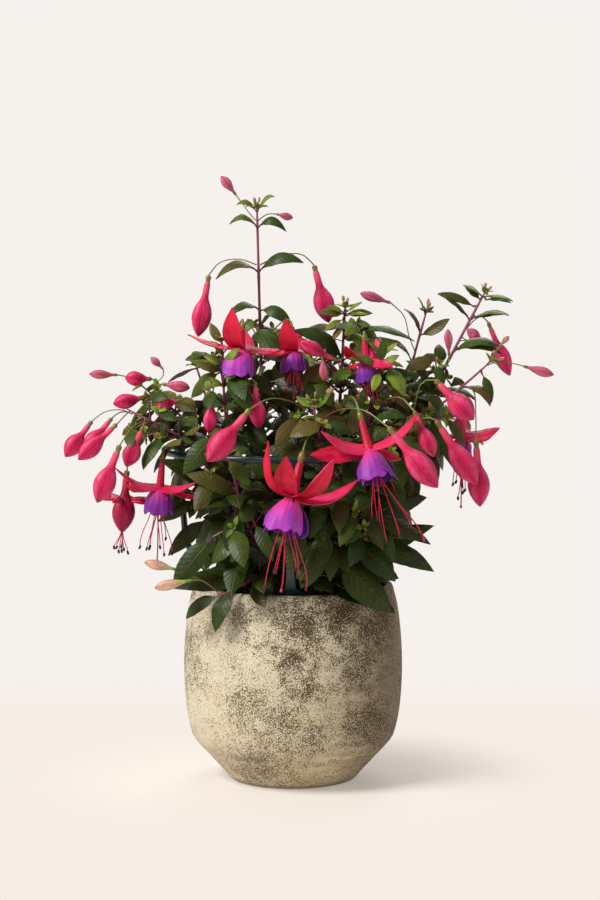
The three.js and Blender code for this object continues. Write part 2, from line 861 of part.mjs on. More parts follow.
// Pairs of leaves at the joints, each pair turned a quarter from the one below.
function ruleLeaves(plan, line, draw) {
  const leaves = [];
  plan.joints.forEach((at, pair) => {
    const { point: base, heading } = onStem(line, at);
    const [across, over] = crossAxes(heading);
    for (const opposite of [0, 180]) {
      const first = ruleLeaf.bearing + ruleLeaf.quarter * pair;
      const bearing = first + opposite + ruleLeaf.scatter * (draw() - 0.5);
      const size = ruleLeaf.lowest - ruleLeaf.taper * at * at;
      const full = plan.leaf * size * (ruleLeaf.least + ruleLeaf.variation * draw());
      const ways = ruleBends.map(([share, droop, turn]) => {
        const angle = THREE.MathUtils.degToRad(bearing + turn);
        const out = across.clone().multiplyScalar(Math.cos(angle)).addScaledVector(over, Math.sin(angle));
        const fall = THREE.MathUtils.degToRad(droop + leafShape.lowDroop * (1 - at));
        const length = full * share;
        const tip = base.clone().addScaledVector(out, length * Math.cos(fall));
        tip.addScaledVector(heading, ruleLeaf.forward * length);
        tip.z -= length * Math.sin(fall);
        return { base, tip, width: ruleLeaf.width * length, arch: ruleLeaf.arch * length, stalked: false };
      });
      leaves.push({ at, ways });
    }
  });
  return leaves;
}

// The first way of each leaf that keeps clear of everything; a leaf that never does is left out.
function growLeaves(leaves, node) {
  const grown = [];
  for (const { at, ways } of leaves) {
    for (const way of ways) {
      const solid = leafBlade(way);
      if (!keepsClear(solid, node, at)) continue;
      grown.push(place(solid, node, at));
      break;
    }
  }
  return grown;
}

// Flowers.

const pedicel = { radius: 0.75, steps: 3, room: 0.4, sideways: 0.25, rise: 0.2, drop: 0.35 };
const knuckle = { radius: 1.5, room: 1.3 };

// The place beside a stem where pedicels start, on the side that faces their flowers. It leaves room
// for a knuckle of the given radius.
function besideStem(plan, at, towards, room) {
  const { point, heading } = onStem(stemLine(plan), at);
  const away = towards.clone().sub(point).projectOnPlane(heading).normalize();
  return point.addScaledVector(away, stemRadius(plan, at) + seat + room);
}

// A pedicel leaves its stem sideways, arches over and comes down to the ovary along the flower's axis.
function pedicelStations(start, ovary, axis) {
  const span = start.distanceTo(ovary);
  const sideways = ovary.clone().sub(start).projectOnPlane(upward).normalize();
  const rise = start.clone().addScaledVector(sideways, pedicel.sideways * span);
  rise.addScaledVector(upward, pedicel.rise * span);
  const drop = ovary.clone().addScaledVector(axis, -pedicel.drop * span);
  const curve = new THREE.CubicBezierCurve3(start, rise, drop, ovary);
  const shares = Array.from({ length: pedicel.steps }, (_, i) => i / pedicel.steps);
  return shares.map((share) => [curve.getPoint(share), pedicel.radius]);
}

// Outlines of buds: the share of the length and the part of the half girth. They are the ovary, the
// tube and the closed sepals, which swell and run to a point.
const largeBud = {
  sides: 5,
  outline: [
    [0, 0.09],
    [0.05, 0.22],
    [0.13, 0.16],
    [0.36, 0.26],
    [0.54, 0.84],
    [0.7, 1],
    [0.87, 0.6],
    [1, 0],
  ],
};
const smallBud = {
  sides: 4,
  outline: [
    [0, 0.14],
    [0.1, 0.36],
    [0.22, 0.22],
    [0.44, 0.66],
    [0.68, 1],
    [1, 0],
  ],
};
const largeGirth = 12.5; // buds up to this girth are small

// A bud on its pedicel.
function budStalk(start, { ovary, tip, girth }) {
  const { sides, outline } = girth > largeGirth ? largeBud : smallBud;
  const [from, to] = [spot(ovary), spot(tip)];
  const axis = to.clone().sub(from).normalize();
  const body = outline.map(([share, part]) => [from.clone().lerp(to, share), part * girth / 2]);
  return stalk([...pedicelStations(start, from, axis), ...body], sides);
}

// The buds of a spray, from one place beside their stem.
function sprayParts({ stem: stemName, at, buds }) {
  const plan = stems.find(({ name }) => name === stemName);
  const middle = new Vector3();
  for (const { ovary } of buds) middle.addScaledVector(spot(ovary), 1 / buds.length);
  const single = buds.length === 1;
  const start = besideStem(plan, at, middle, single ? pedicel.room : knuckle.room);
  const stalks = buds.map((bud) => budStalk(start, bud));
  return single ? stalks : [knuckleSolid(start), ...stalks];
}

// The small swelling from which the pedicels of a cluster part.
function knuckleSolid(centre) {
  return solidOf(new THREE.IcosahedronGeometry(knuckle.radius).translate(centre.x, centre.y, centre.z));
}

// The calyx of a bloom of full length: its tube as share and radius, and its sepals' roots. A shorter
// bloom's tube is thinner, down to the least swell. A sepal's outline is its share of the length and
// part of the half width, and its curve is in shares of its reach.
const calyx = {
  fullLength: 40,
  leastSwell: 0.75,
  sides: 4,
  tube: [
    [0.05, 2.3],
    [0.17, 2.3],
    [0.22, 1.7],
    [0.5, 2.9],
    [1, 4.6],
  ],
  root: { inside: 2, out: 1.9, halfWidth: 1 },
  sepal: [
    [0.28, 0.82],
    [0.6, 0.98],
    [1, 0],
  ],
  swing: { out: 0.42, down: 0.04 },
  curl: { back: 0.36, out: 0.16 },
  thickness: 0.9,
  fold: 0.24,
};

// The skirt below the throat, with the share of a petal's turn in degrees, how its edges step and how
// its hem rounds.
const corolla = {
  gap: 0.4,
  topRadius: 4.4,
  wall: 0.8,
  petals: 4,
  firstTurn: 20,
  spread: 42,
  step: 0.09,
  hem: 1.03,
  hemRise: 0.16,
};
const stamen = {
  radius: 0.5,
  anther: 1.15,
  antherShare: 0.94,
  ring: 1.1,
  inside: 1.5,
  sides: 3,
  fall: 0.5,
  reach: 0.25,
};

function bloomFrame({ ovary, throat }) {
  const top = spot(ovary);
  const mouth = spot(throat);
  const axis = mouth.clone().sub(top).normalize();
  const swell = Math.max(top.distanceTo(mouth) / calyx.fullLength, calyx.leastSwell);
  return { top, mouth, axis, swell };
}

// The pedicel, the ovary and the tube down to the throat, as one stalk.
function tubeStalk(start, { top, mouth, axis, swell }) {
  const tube = calyx.tube.map(([share, radius]) => [top.clone().lerp(mouth, share), radius * swell]);
  return stalk([...pedicelStations(start, top, axis), ...tube], calyx.sides);
}

// A sepal springs from the throat, swings outwards and curls up to its tip.
function sepalBlade({ mouth, axis, swell }, tipSpot, width) {
  const tip = spot(tipSpot);
  const out = tip.clone().sub(mouth).projectOnPlane(axis).normalize();
  const base = mouth.clone().addScaledVector(axis, -calyx.root.inside * swell);
  base.addScaledVector(out, calyx.root.out * swell);
  const reach = base.distanceTo(tip);
  const swing = base.clone().addScaledVector(out, calyx.swing.out * reach);
  swing.addScaledVector(axis, calyx.swing.down * reach);
  const curl = tip.clone().lerp(base, calyx.curl.back).addScaledVector(out, calyx.curl.out * reach);
  const curve = new THREE.CubicBezierCurve3(base, swing, curl, tip);
  const outline = calyx.sepal.map(([share, part]) => [share, part * width / 2]);
  const sections = [[0, calyx.root.halfWidth], ...outline];
  return blade(curve, axis.clone().cross(out), sections, calyx.thickness, calyx.fold);
}

// A stamen leaves the throat, hangs along the axis and ends in a thicker anther.
function stamenRod({ mouth, axis }, endSpot, index, count) {
  const end = spot(endSpot);
  const [across, over] = crossAxes(axis);
  const turn = (2 * Math.PI * index) / count;
  const start = mouth.clone().addScaledVector(axis, -stamen.inside);
  start.addScaledVector(across, stamen.ring * Math.cos(turn));
  start.addScaledVector(over, stamen.ring * Math.sin(turn));
  const reach = start.distanceTo(end);
  const curve = new THREE.CubicBezierCurve3(
    start,
    start.clone().addScaledVector(axis, stamen.fall * reach),
    end.clone().addScaledVector(axis, -stamen.reach * reach),
    end,
  );
  const stops = [[0, stamen.radius], [0.5, stamen.radius], [stamen.antherShare, stamen.anther], [1, 0]];
  return skin(stops.map(([share, radius]) => {
    const centre = curve.getPoint(share);
    return radius === 0 ? [centre] : ringAt(centre, across, over, radius, stamen.sides);
  }));
}

// Tube, sepals and stamens of a bloom.
function calyxParts(bloom) {
  const frame = bloomFrame(bloom);
  const plan = stems.find(({ name }) => name === bloom.stem);
  const start = besideStem(plan, bloom.at, frame.top, pedicel.room);
  return [
    tubeStalk(start, frame),
    ...bloom.sepals.map((tip) => sepalBlade(frame, tip, bloom.sepalWidth)),
    ...bloom.stamens.map((end, index) => stamenRod(frame, end, index, bloom.stamens.length)),
  ];
}

// The skirt: a thin bell of overlapping petals round the stamens. Each petal has one edge a little
// outside the other, so that it steps over its neighbour, and a rounded hem. A row is the share of the
// depth and of the flare, with 1 for the inner side.
function skirtBell({ mouth, axis }, { depth, mouth: hemRadius }) {
  const [across, over] = crossAxes(axis);
  const top = corolla.topRadius;
  const rows = [[0, 0, 0], [0.5, 0.72, 0], [1, 1, 0], [1, 1, 1], [0.5, 0.72, 1], [0, 0, 1]];
  const rings = [];
  for (let petal = 0; petal < corolla.petals; petal++) {
    for (const column of [-1, 0, 1]) {
      const degrees = corolla.firstTurn + (360 / corolla.petals) * petal + corolla.spread * column;
      const turn = THREE.MathUtils.degToRad(degrees);
      const out = across.clone().multiplyScalar(Math.cos(turn)).addScaledVector(over, Math.sin(turn));
      rings.push(rows.map(([fall, flare, inner]) => {
        const flared = (top + (hemRadius - top) * flare) * (1 + corolla.step * column);
        const radius = flared - inner * corolla.wall;
        const drop = corolla.gap + fall * depth * (corolla.hem - corolla.hemRise * column * column);
        return mouth.clone().addScaledVector(axis, drop).addScaledVector(out, radius);
      }));
    }
  }
  return closedSkin(rings);
}

// Pot, soil and support.

function latheGeometry(outline) {
  const profile = outline.map(([radius, height]) => new THREE.Vector2(radius, height));
  return new THREE.LatheGeometry(profile, pot.segments).rotateX(Math.PI / 2);
}

function potSolid() {
  return solidOf(latheGeometry([[0, 0], ...pot.outside, ...pot.inside, [0, pot.floor]]));
}

// Soil fills the pot up to a lumpy mound and has a plain hole for each stem and leg.
function soilSolid(holes) {
  const wall = pot.inside.slice(1).reverse().map(([radius, height]) => [radius - seat, height]);
  const bottom = pot.floor + seat;
  const fill = [[0, bottom], [wall[0][0], bottom], ...wall.slice(1), ...soil.top, [0, soil.middle]];
  const geometry = latheGeometry(fill);
  const corners = geometry.attributes.position;
  for (let i = 0; i < corners.count; i++) {
    const [x, y, z] = [corners.getX(i), corners.getY(i), corners.getZ(i)];
    const lump = Math.sin(x / soil.lump.length + 1) * Math.cos(y / soil.lump.width);
    if (z > soilEdge + 1) corners.setZ(i, z + soil.lump.height * lump);
  }
  return wasm.Manifold.difference([solidOf(geometry), ...holes]);
}

function turned(geometry, degrees) {
  return geometry.rotateZ(THREE.MathUtils.degToRad(degrees)).translate(hoop.centreX, 0, 0);
}

function hoopSolid() {
  const ring = new THREE.TorusGeometry(hoop.radius, hoop.thickness / 2, hoop.sides, hoop.segments);
  ring.scale(1, 1, hoop.depth / hoop.thickness).translate(hoop.centreX, 0, hoop.height);
  const sockets = Object.values(leg.angles).map((degrees) => {
    const block = new THREE.BoxGeometry(socket.depth, socket.width, socket.height);
    return solidOf(turned(block.translate(hoop.radius, 0, socketTop - socket.height / 2), degrees));
  });
  return joined([solidOf(ring), ...sockets]);
}

// A flat leg: it hangs from its socket, leans in over the rim, widens to a foot on the soil and ends
// in a spike.
function legSolid(degrees, extra) {
  const rings = leg.route.map(([radius, height, width], i) => {
    const [inner, outer] = [radius - leg.thickness / 2 - extra, radius + leg.thickness / 2 + extra];
    const half = width / 2 + extra;
    const level = i === leg.route.length - 1 ? height - extra : height;
    return [[inner, -half], [outer, -half], [outer, half], [inner, half]].map(([x, y]) => {
      const turn = THREE.MathUtils.degToRad(degrees);
      return new Vector3(x, y, level).applyAxisAngle(upward, turn).add(new Vector3(hoop.centreX, 0, 0));
    });
  });
  return skin(rings);
}

const finishes = {
  glaze: { color: "#c4b894", roughness: 0.75 },
  soil: { color: "#2a1d14", roughness: 0.95 },
  hoop: { color: "#26383c", roughness: 0.5 },
  leg: { color: "#1c2b2a", roughness: 0.5 },
  calyx: { color: "#e0233f", roughness: 0.5 },
  corolla: { color: "#8f35b8", roughness: 0.5 },
  bud: { color: "#d9386b", roughness: 0.45 },
  leaf: { color: "#35572b", roughness: 0.6 },
};

function finish(name) {
  return new THREE.MeshStandardMaterial({ ...finishes[name], metalness: 0 });
}

function piece(name, solid, material) {
  const { vertProperties, triVerts } = solid.getMesh();
  const geometry = new THREE.BufferGeometry();
  geometry.setAttribute("position", new THREE.BufferAttribute(Float32Array.from(vertProperties), 3));
  geometry.setIndex(new THREE.BufferAttribute(Uint32Array.from(triVerts), 1));
  geometry.computeVertexNormals();
  const mesh = new THREE.Mesh(geometry, material);
  mesh.name = name;
  return mesh;
}

// The whole plant. What is fixed comes first, then stems, flowers and buds, and the leaves last, bent
// clear of them.
const group = new THREE.Group();

const soilHoles = [
  ...stems.map((plan) => stemTube(plan, stem.holeGap)),
  ...Object.values(leg.angles).map((degrees) => legSolid(degrees, seat)),
];
group.add(piece("pot", place(potSolid(), "pot"), finish("glaze")));
group.add(piece("potting_soil", place(soilSolid(soilHoles), "potting_soil"), finish("soil")));
group.add(piece("support_hoop", place(hoopSolid(), "support_hoop"), finish("hoop")));
for (const [side, degrees] of Object.entries(leg.angles)) {
  const name = `support_leg_${side}`;
  group.add(piece(name, place(legSolid(degrees, 0), name), finish("leg")));
}

const leafyStems = new Map(stems.map((plan) => [plan.name, [place(stemTube(plan, 0), plan.name)]]));
for (const bloom of blooms) {
  const parts = { calyx: calyxParts(bloom), corolla: [skirtBell(bloomFrame(bloom), bloom.skirt)] };
  for (const [part, solids] of Object.entries(parts)) {
    const name = `${bloom.name}_${part}`;
    solids.forEach((solid) => place(solid, name));
    group.add(piece(name, joined(solids), finish(part)));
  }
}
for (const spray of sprays) {
  const solids = sprayParts(spray);
  solids.forEach((solid) => place(solid, spray.name));
  group.add(piece(spray.name, joined(solids), finish("bud")));
}
for (const plan of stems) {
  const line = stemLine(plan);
  for (const bud of plan.buds) {
    leafyStems.get(plan.name).push(place(budStalk(onStem(line, bud.at).point, bud), plan.name, bud.at));
  }
}
for (const plan of stems) {
  leafyStems.get(plan.name).push(...growLeaves(handLeaves(plan, stemLine(plan)), plan.name));
}
stems.forEach((plan, index) => {
  const leaves = ruleLeaves(plan, stemLine(plan), drawer(firstSeed + index));
  leafyStems.get(plan.name).push(...growLeaves(leaves, plan.name));
  group.add(piece(plan.name, joined(leafyStems.get(plan.name)), finish("leaf")));
});

export default group;
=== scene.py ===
import math
import random

import bmesh
import bpy
import numpy as np
from mathutils import Matrix, Vector, noise
from mathutils.bvhtree import BVHTree


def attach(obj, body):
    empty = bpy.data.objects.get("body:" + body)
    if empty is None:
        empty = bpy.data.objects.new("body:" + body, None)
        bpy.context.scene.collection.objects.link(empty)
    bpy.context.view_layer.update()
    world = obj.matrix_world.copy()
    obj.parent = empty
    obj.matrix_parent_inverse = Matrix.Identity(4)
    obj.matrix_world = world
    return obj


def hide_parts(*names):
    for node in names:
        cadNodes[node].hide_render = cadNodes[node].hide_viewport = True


# A fuchsia in bloom, in a glazed pot, with its stems held by a hoop on three legs.
# Metres, +Z up, the front at -Y. Sizes below are in millimetres and are multiplied by mm.
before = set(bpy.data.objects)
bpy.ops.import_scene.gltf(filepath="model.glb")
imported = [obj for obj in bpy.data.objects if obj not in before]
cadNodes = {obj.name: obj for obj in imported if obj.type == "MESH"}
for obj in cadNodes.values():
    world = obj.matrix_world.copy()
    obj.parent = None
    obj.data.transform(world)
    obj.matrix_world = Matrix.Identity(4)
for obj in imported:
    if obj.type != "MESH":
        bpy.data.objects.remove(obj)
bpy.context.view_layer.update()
mm = 0.001
up = Vector((0, 0, 1))
dice = random.Random(20)


# Camera, at the photograph's angle. Places in the picture are in its 600 x 900 frame.
picture = {"wide": 600, "high": 900, "focal": 2316, "eye": (6, -2000, 447), "pitch": math.radians(4.61)}


def makeCamera():
    data = bpy.data.cameras.new("camera")
    data.sensor_width = 36
    data.lens = data.sensor_width * picture["focal"] / picture["high"]
    camera = bpy.data.objects.new("camera", data)
    camera.location = Vector(picture["eye"]) * mm
    camera.rotation_euler = (math.pi / 2 - picture["pitch"], 0, 0)
    bpy.context.scene.collection.objects.link(camera)
    bpy.context.scene.camera = camera


def spot(across, down, near):  # the point seen at a place in the picture, so far in front of the pot's axis
    right = across - picture["wide"] / 2
    rise = picture["high"] / 2 - down
    pitch, focal = picture["pitch"], picture["focal"]
    forward = focal * math.cos(pitch) + rise * math.sin(pitch)
    lift = rise * math.cos(pitch) - focal * math.sin(pitch)
    eyeX, eyeY, eyeZ = picture["eye"]
    reach = (-eyeY - near) / forward
    return Vector((eyeX + right * reach, -near, eyeZ + lift * reach)) * mm


# Shader maths: a wire is a node's output that Python's own operators work on
class Wire:
    def __init__(self, paint, socket):
        self.paint = paint
        self.socket = socket

    def maths(self, operation, *values):
        return self.paint.node("ShaderNodeMath", {"operation": operation}, dict(enumerate(values)))

    def __add__(self, other):
        return self.maths("ADD", self, other)

    def __radd__(self, other):
        return self.maths("ADD", other, self)

    def __sub__(self, other):
        return self.maths("SUBTRACT", self, other)

    def __rsub__(self, other):
        return self.maths("SUBTRACT", other, self)

    def __mul__(self, other):
        return self.maths("MULTIPLY", self, other)

    def __rmul__(self, other):
        return self.maths("MULTIPLY", other, self)

    def __pow__(self, other):
        return self.maths("POWER", self, other)

    def size(self):
        return self.maths("ABSOLUTE", self)

    def waves(self):
        return self.maths("SINE", self)

    def part(self):  # what is left after the whole number
        return self.maths("FRACT", self)

    def most(self, other):  # the larger of the two
        return self.maths("MAXIMUM", self, other)

    def between(self, low, high, first=0.0, last=1.0):  # 0 to 1 as the value goes from low to high, softly
        settings = {"interpolation_type": "SMOOTHSTEP"}
        return self.paint.node("ShaderNodeMapRange", settings, {0: self, 1: low, 2: high, 3: first, 4: last})


class Paint:  # a material and the one way in which its nodes are made
    def __init__(self, name, roughness, **constants):
        self.material = bpy.data.materials.new(name)
        self.material.use_nodes = True
        self.tree = self.material.node_tree
        self.shader = self.tree.nodes["Principled BSDF"]
        self.shader.inputs["Roughness"].default_value = roughness
        for socket, value in constants.items():
            self.shader.inputs[socket.replace("_", " ")].default_value = value

    def node(self, kind, settings=None, inputs=None, output=0):
        made = self.tree.nodes.new(kind)
        for name, value in (settings or {}).items():
            if name == "stops":
                self.fillRamp(made.color_ramp, value)
            else:
                setattr(made, name, value)
        for name, value in (inputs or {}).items():
            if isinstance(value, Wire):
                self.tree.links.new(value.socket, made.inputs[name])
            else:
                made.inputs[name].default_value = value
        return Wire(self, made.outputs[output])

    def fillRamp(self, ramp, stops):
        while len(ramp.elements) < len(stops):
            ramp.elements.new(1)
        for element, (position, colour) in zip(ramp.elements, stops):
            element.position = position
            element.color = rgb(colour)

    def place(self, scale=(1, 1, 1)):  # Object coordinates in metres, stretched
        where = self.node("ShaderNodeTexCoord", output=3)
        return self.node("ShaderNodeMapping", None, {0: where, 3: scale})

    def parts(self, coordinates):  # the numbers of the piece's own map (2) or of its place in metres (3)
        where = self.node("ShaderNodeTexCoord", output=coordinates)
        split = self.node("ShaderNodeSeparateXYZ", None, {0: where})
        return [Wire(self, output) for output in split.socket.node.outputs]

    def along(self):  # the piece's own map: across from 0 to 1, and along from root to tip
        return self.parts(2)[:2]

    def tint(self):
        return self.node("ShaderNodeAttribute", {"attribute_name": "tint"}, output=2)

    def noise(self, scale, detail=3.0, roughness=0.55, where=None, distortion=0.0):
        inputs = {"Vector": where or self.place(), "Scale": scale, "Detail": detail, "Roughness": roughness,
                  "Distortion": distortion}
        return self.node("ShaderNodeTexNoise", None, inputs)

    def cells(self, scale):
        return self.node("ShaderNodeTexVoronoi", None, {"Vector": self.place(), "Scale": scale})

    def ramp(self, factor, *stops):
        return self.node("ShaderNodeValToRGB", {"stops": stops}, {0: factor})

    def mix(self, factor, first, second):
        inputs = {0: factor, 6: colourOf(first), 7: colourOf(second)}
        return self.node("ShaderNodeMix", {"data_type": "RGBA"}, inputs, output=2)

    def feed(self, socket, wire):
        self.tree.links.new(wire.socket, self.shader.inputs[socket])

    def bump(self, height, distance, strength):
        inputs = {"Height": height, "Distance": distance, "Strength": strength}
        self.feed("Normal", self.node("ShaderNodeBump", None, inputs))


def rgb(text):  # a colour as seen on the screen, made linear
    values = [int(text[i:i + 2], 16) / 255 for i in (1, 3, 5)]
    return tuple(v / 12.92 if v <= 0.04045 else ((v + 0.055) / 1.055) ** 2.4 for v in values) + (1.0,)


def colourOf(value):
    return value if isinstance(value, Wire) else rgb(value)


# Finishes
glaze = {"cream": "#e3d9be", "straw": "#d5c59c", "grey": "#94794c", "speck": "#48320f", "grain": "#f8eeca",
         "shadeAndWear": "#665030", "ochre": "#8b6238", "foot": "#4f4232"}
# Clouds of specks on the front: how far right and up their middles are, their radius and how dense they are
speckClouds = [(14, 152, 22, 1.2), (42, 156, 27, 1.3), (70, 146, 24, 1.3), (2, 116, 14, 1.2),
               (8, 100, 13, 1.0), (56, 112, 20, 1.0), (-38, 77, 20, 0.7), (-12, 66, 16, 0.8),
               (16, 50, 13, 0.7), (62, 58, 18, 0.8), (-24, 46, 12, 0.6), (-26, 24, 22, 0.75),
               (-90, 130, 14, 0.6), (-88, 100, 14, 0.6), (-38, 151, 8, 0.6), (-36, 118, 5, 0.5)]


def glazeFinish():
    paint = Paint("speckled glaze", 0.62)
    x, y, z = paint.parts(3)
    clouds = paint.noise(13, 3, 0.55, distortion=0.6)
    lumps = paint.noise(38, 3, 0.6)
    ragged = paint.noise(95, 4, 0.65)
    grain = paint.noise(1100, 2, 0.6)
    beads = paint.cells(860)
    streaks = paint.noise(16, 4, 0.65, where=paint.place((1, 1, 8)))
    # The glaze has drawn into beads, and the dark body shows in clouds between them
    around = (clouds * 0.8 + ragged * 0.4).between(0.47, 0.72)
    rough = (lumps - 0.5) * 0.04 + (ragged - 0.5) * 0.04
    dense = 0.0
    for right, high, radius, density in speckClouds:
        away = ((x - right * mm) ** 2 + (z - high * mm) ** 2) ** 0.5 - rough
        dense = away.between(radius * mm * 2, 0, 0, density).most(dense)
    inFront = y.between(-0.01, -0.05)
    cover = around * (1 - inFront) + (dense * 0.8 + around * 0.15 + 0.16) * inFront
    level = 0.89 - cover * 0.46
    specks = (beads + (grain - 0.5) * 1.1 + (ragged - 0.5) * 0.3 - level).between(-0.08, 0.1)
    specks = specks * (cover * 0.3 + 0.68)
    tan = ragged.between(0.3, 0.7) * 0.35 + lumps.between(0.35, 0.65) * 0.25 + (x - z) * 3 + 0.4
    body = paint.mix(tan.between(0.0, 1.0), glaze["cream"], glaze["straw"])
    body = paint.mix(cover * 0.14, body, glaze["grey"])
    body = paint.mix(grain.between(0.62, 0.38) * 0.3, body, glaze["grey"])
    # Partly painted shade and partly worn glaze: towards the right side, away from the key light, the pot
    # darkens to brown in streaks
    shadeAndWear = (x * 14 + streaks * 0.8 + clouds * 0.5).between(1.0, 1.85)
    body = paint.mix(shadeAndWear * 0.92, body, glaze["shadeAndWear"])
    warm = (streaks - z * 6).between(0.2, 0.55)
    body = paint.mix(warm * 0.3, body, glaze["ochre"])
    pale = beads.between(0.36, 0.12) * (cover * 0.8 + 0.25) * (1 - shadeAndWear * 0.5)
    body = paint.mix(pale, body, glaze["grain"])
    colour = paint.mix(specks * 0.93, body, glaze["speck"])
    low = z.between(0.0, 0.005, 1.0, 0.0)
    colour = paint.mix(low * 0.7, colour, glaze["foot"])
    paint.feed("Base Color", colour)
    paint.feed("Roughness", specks * 0.2 + 0.55)
    paint.bump(grain * 0.4 - specks * 0.7 + ragged * 0.3, 0.0012, 0.85)
    return paint.material


def soilFinish():
    paint = Paint("peat", 0.95)
    grain = paint.noise(240, 5, 0.7)
    lumps = paint.noise(60, 3, 0.6)
    colour = paint.ramp(grain * 0.7 + lumps * 0.4, (0.3, "#0d0907"), (0.55, "#2a1c13"), (0.8, "#4a3423"))
    paint.feed("Base Color", colour)
    paint.bump(grain, 0.0015, 0.9)
    return paint.material


def plasticFinish(name, colour, shade):
    paint = Paint(name, 0.34)
    mottle = paint.noise(38, 3, 0.5)
    paint.feed("Base Color", paint.mix(mottle.between(0.35, 0.7), colour, shade))
    paint.feed("Roughness", paint.noise(300, 2) * 0.2 + 0.26)
    paint.bump(paint.noise(420, 2), 0.0002, 0.25)
    return paint.material


def leafFinish(name, old, young, vein, rib, shine, dark):
    paint = Paint(name, 0.42, Specular_IOR_Level=0.27)
    across, along = paint.along()
    tint = paint.tint()
    off = (across - 0.5).size() * 2
    mottle = paint.noise(70, 3, 0.6)
    bronze = ((tint + 1) * 23.7).part()  # by chance, from leaf to leaf
    body = paint.mix((tint + mottle * 0.3 - 0.15).between(0.0, 1.0), old, young)
    body = paint.mix(mottle.between(0.35, 0.75) * dark, body, "#121803")
    body = paint.mix(tint.between(0.0, -0.6, 0.0, 0.75), body, "#1a2504")
    low = paint.parts(3)[2].between(0.33, 0.2)  # painted shade: leaves low in the plant, near the soil, are darker and less bronze
    body = paint.mix(low * 0.32, body, "#101802")
    body = paint.mix(bronze.between(0.48, 0.95) * (mottle * 0.95) * (1 - low * 0.85), body, "#70482a")
    # The side veins leave the midrib forwards and curve up to the edge
    order = (along * 9.0 - off * 1.9 + off * off * 0.5).part()
    veins = (order - 0.5).size().between(0.0, 0.09, 1.0, 0.0) * off.between(0.9, 0.2, 0.15, 1.0)
    midrib = off.between(0.02, 0.07, 1.0, 0.0)
    body = paint.mix(veins * 0.3, body, vein)
    body = paint.mix(midrib * 0.65, body, rib)
    paint.feed("Base Color", body)
    paint.feed("Roughness", mottle * 0.25 + shine)
    quilt = (order - 0.5).size() * 0.6 - midrib * 0.8 - veins * 0.4
    paint.bump(quilt, 0.0006, 0.6)
    return paint.material


def barkFinish():
    paint = Paint("stem bark", 0.5)
    along = paint.along()[1]
    fibre = paint.noise(420, 3, 0.6, where=paint.place((1, 1, 0.12)))
    base = paint.ramp(along, (0.0, "#3a2018"), (0.35, "#4a1a27"), (0.75, "#7a3048"), (1.0, "#a64e68"))
    colour = paint.mix(fibre.between(0.3, 0.7) * 0.4, base, "#2a1014")
    paint.feed("Base Color", colour)
    paint.bump(fibre, 0.0004, 0.5)
    return paint.material


def stalkFinish(name, root, tip):  # pedicels and petioles
    paint = Paint(name, 0.45)
    along = paint.along()[1]
    base = paint.mix(along.between(0.15, 0.95), root, tip)
    paint.feed("Base Color", paint.mix(paint.noise(160, 2) * 0.35, base, "#4c3a1c"))
    return paint.material


def budFinish(name, body, shade, tube, gleam):
    paint = Paint(name, 0.46, Specular_IOR_Level=0.25)
    seam, along = paint.along()
    tint = paint.tint()
    streaks = paint.noise(300, 3, 0.6, where=paint.place((1, 1, 0.35)))
    base = paint.mix(streaks.between(0.3, 0.75), body, shade)
    base = paint.mix(tint * 0.9, base, "#b25e6c")  # the small ones are duller
    base = paint.mix(along.between(0.42, 0.2) * (1 - tint * 0.7) * 0.8, base, tube)  # the tube is paler
    base = paint.mix(along.between(0.88, 1.0) * 0.55, base, "#8a2c46")
    onBody = along.between(0.36, 0.5)
    lines = seam.between(0.2, 0.03) * onBody
    base = paint.mix(lines * 0.55, base, "#8d1236")
    base = paint.mix(seam.between(0.5, 1.0) * streaks.between(0.3, 0.7) * onBody * 0.5, base, gleam)
    paint.feed("Base Color", base)
    paint.feed("Roughness", streaks * 0.2 + 0.38)
    paint.bump(streaks * 0.35 - lines * 0.8, 0.0005, 0.5)
    return paint.material


def paleBudFinish(name, body, shade, root, tip):
    # Young buds, and those low in the shade, are green at the root
    paint = Paint(name, 0.4)
    seam, along = paint.along()
    streaks = paint.noise(220, 3, 0.6)
    base = paint.mix(streaks.between(0.3, 0.75), body, shade)
    base = paint.mix(along.between(0.5, 0.2), base, root)
    base = paint.mix(along.between(0.8, 1.0) * 0.6, base, tip)
    paint.feed("Base Color", paint.mix(seam.between(0.25, 0.03) * 0.4, base, tip))
    return paint.material


def ovaryFinish():
    paint = Paint("ovary", 0.3)
    mottle = paint.noise(150, 2)
    paint.feed("Base Color", paint.mix(mottle.between(0.3, 0.7), "#6a7030", "#8c6436"))
    return paint.material


def sepalFinish(name, body, deep, glow):
    paint = Paint(name, 0.4, Specular_IOR_Level=0.25)
    across, along = paint.along()
    off = (across - 0.5).size() * 2
    fan = (across * 26 + along * 2).waves()
    streaks = paint.noise(260, 3, 0.6)
    base = paint.mix(streaks.between(0.3, 0.7), body, deep)
    base = paint.mix(fan.between(0.2, 1.0) * 0.5, base, deep)
    # Painted highlight: patches of pink glow, more on some sepals than others, and a lighter middle
    highlightPatches = paint.noise(45, 3, 0.5)
    base = paint.mix(highlightPatches.between(0.4, 0.7) * (paint.tint() * 0.6 + 0.3), base, glow)
    base = paint.mix(paint.tint() * 0.35, base, glow)
    base = paint.mix(off.between(0.35, 0.0) * 0.25, base, glow)
    base = paint.mix(along.between(0.85, 1.0) * 0.5, base, "#a8203a")
    base = paint.mix(off.between(0.75, 1.0) * 0.35, base, "#a8142e")
    paint.feed("Base Color", base)
    paint.bump(fan * 0.4 + streaks * 0.4 - off.between(0.1, 0.0) * 0.8, 0.0004, 0.45)
    return paint.material


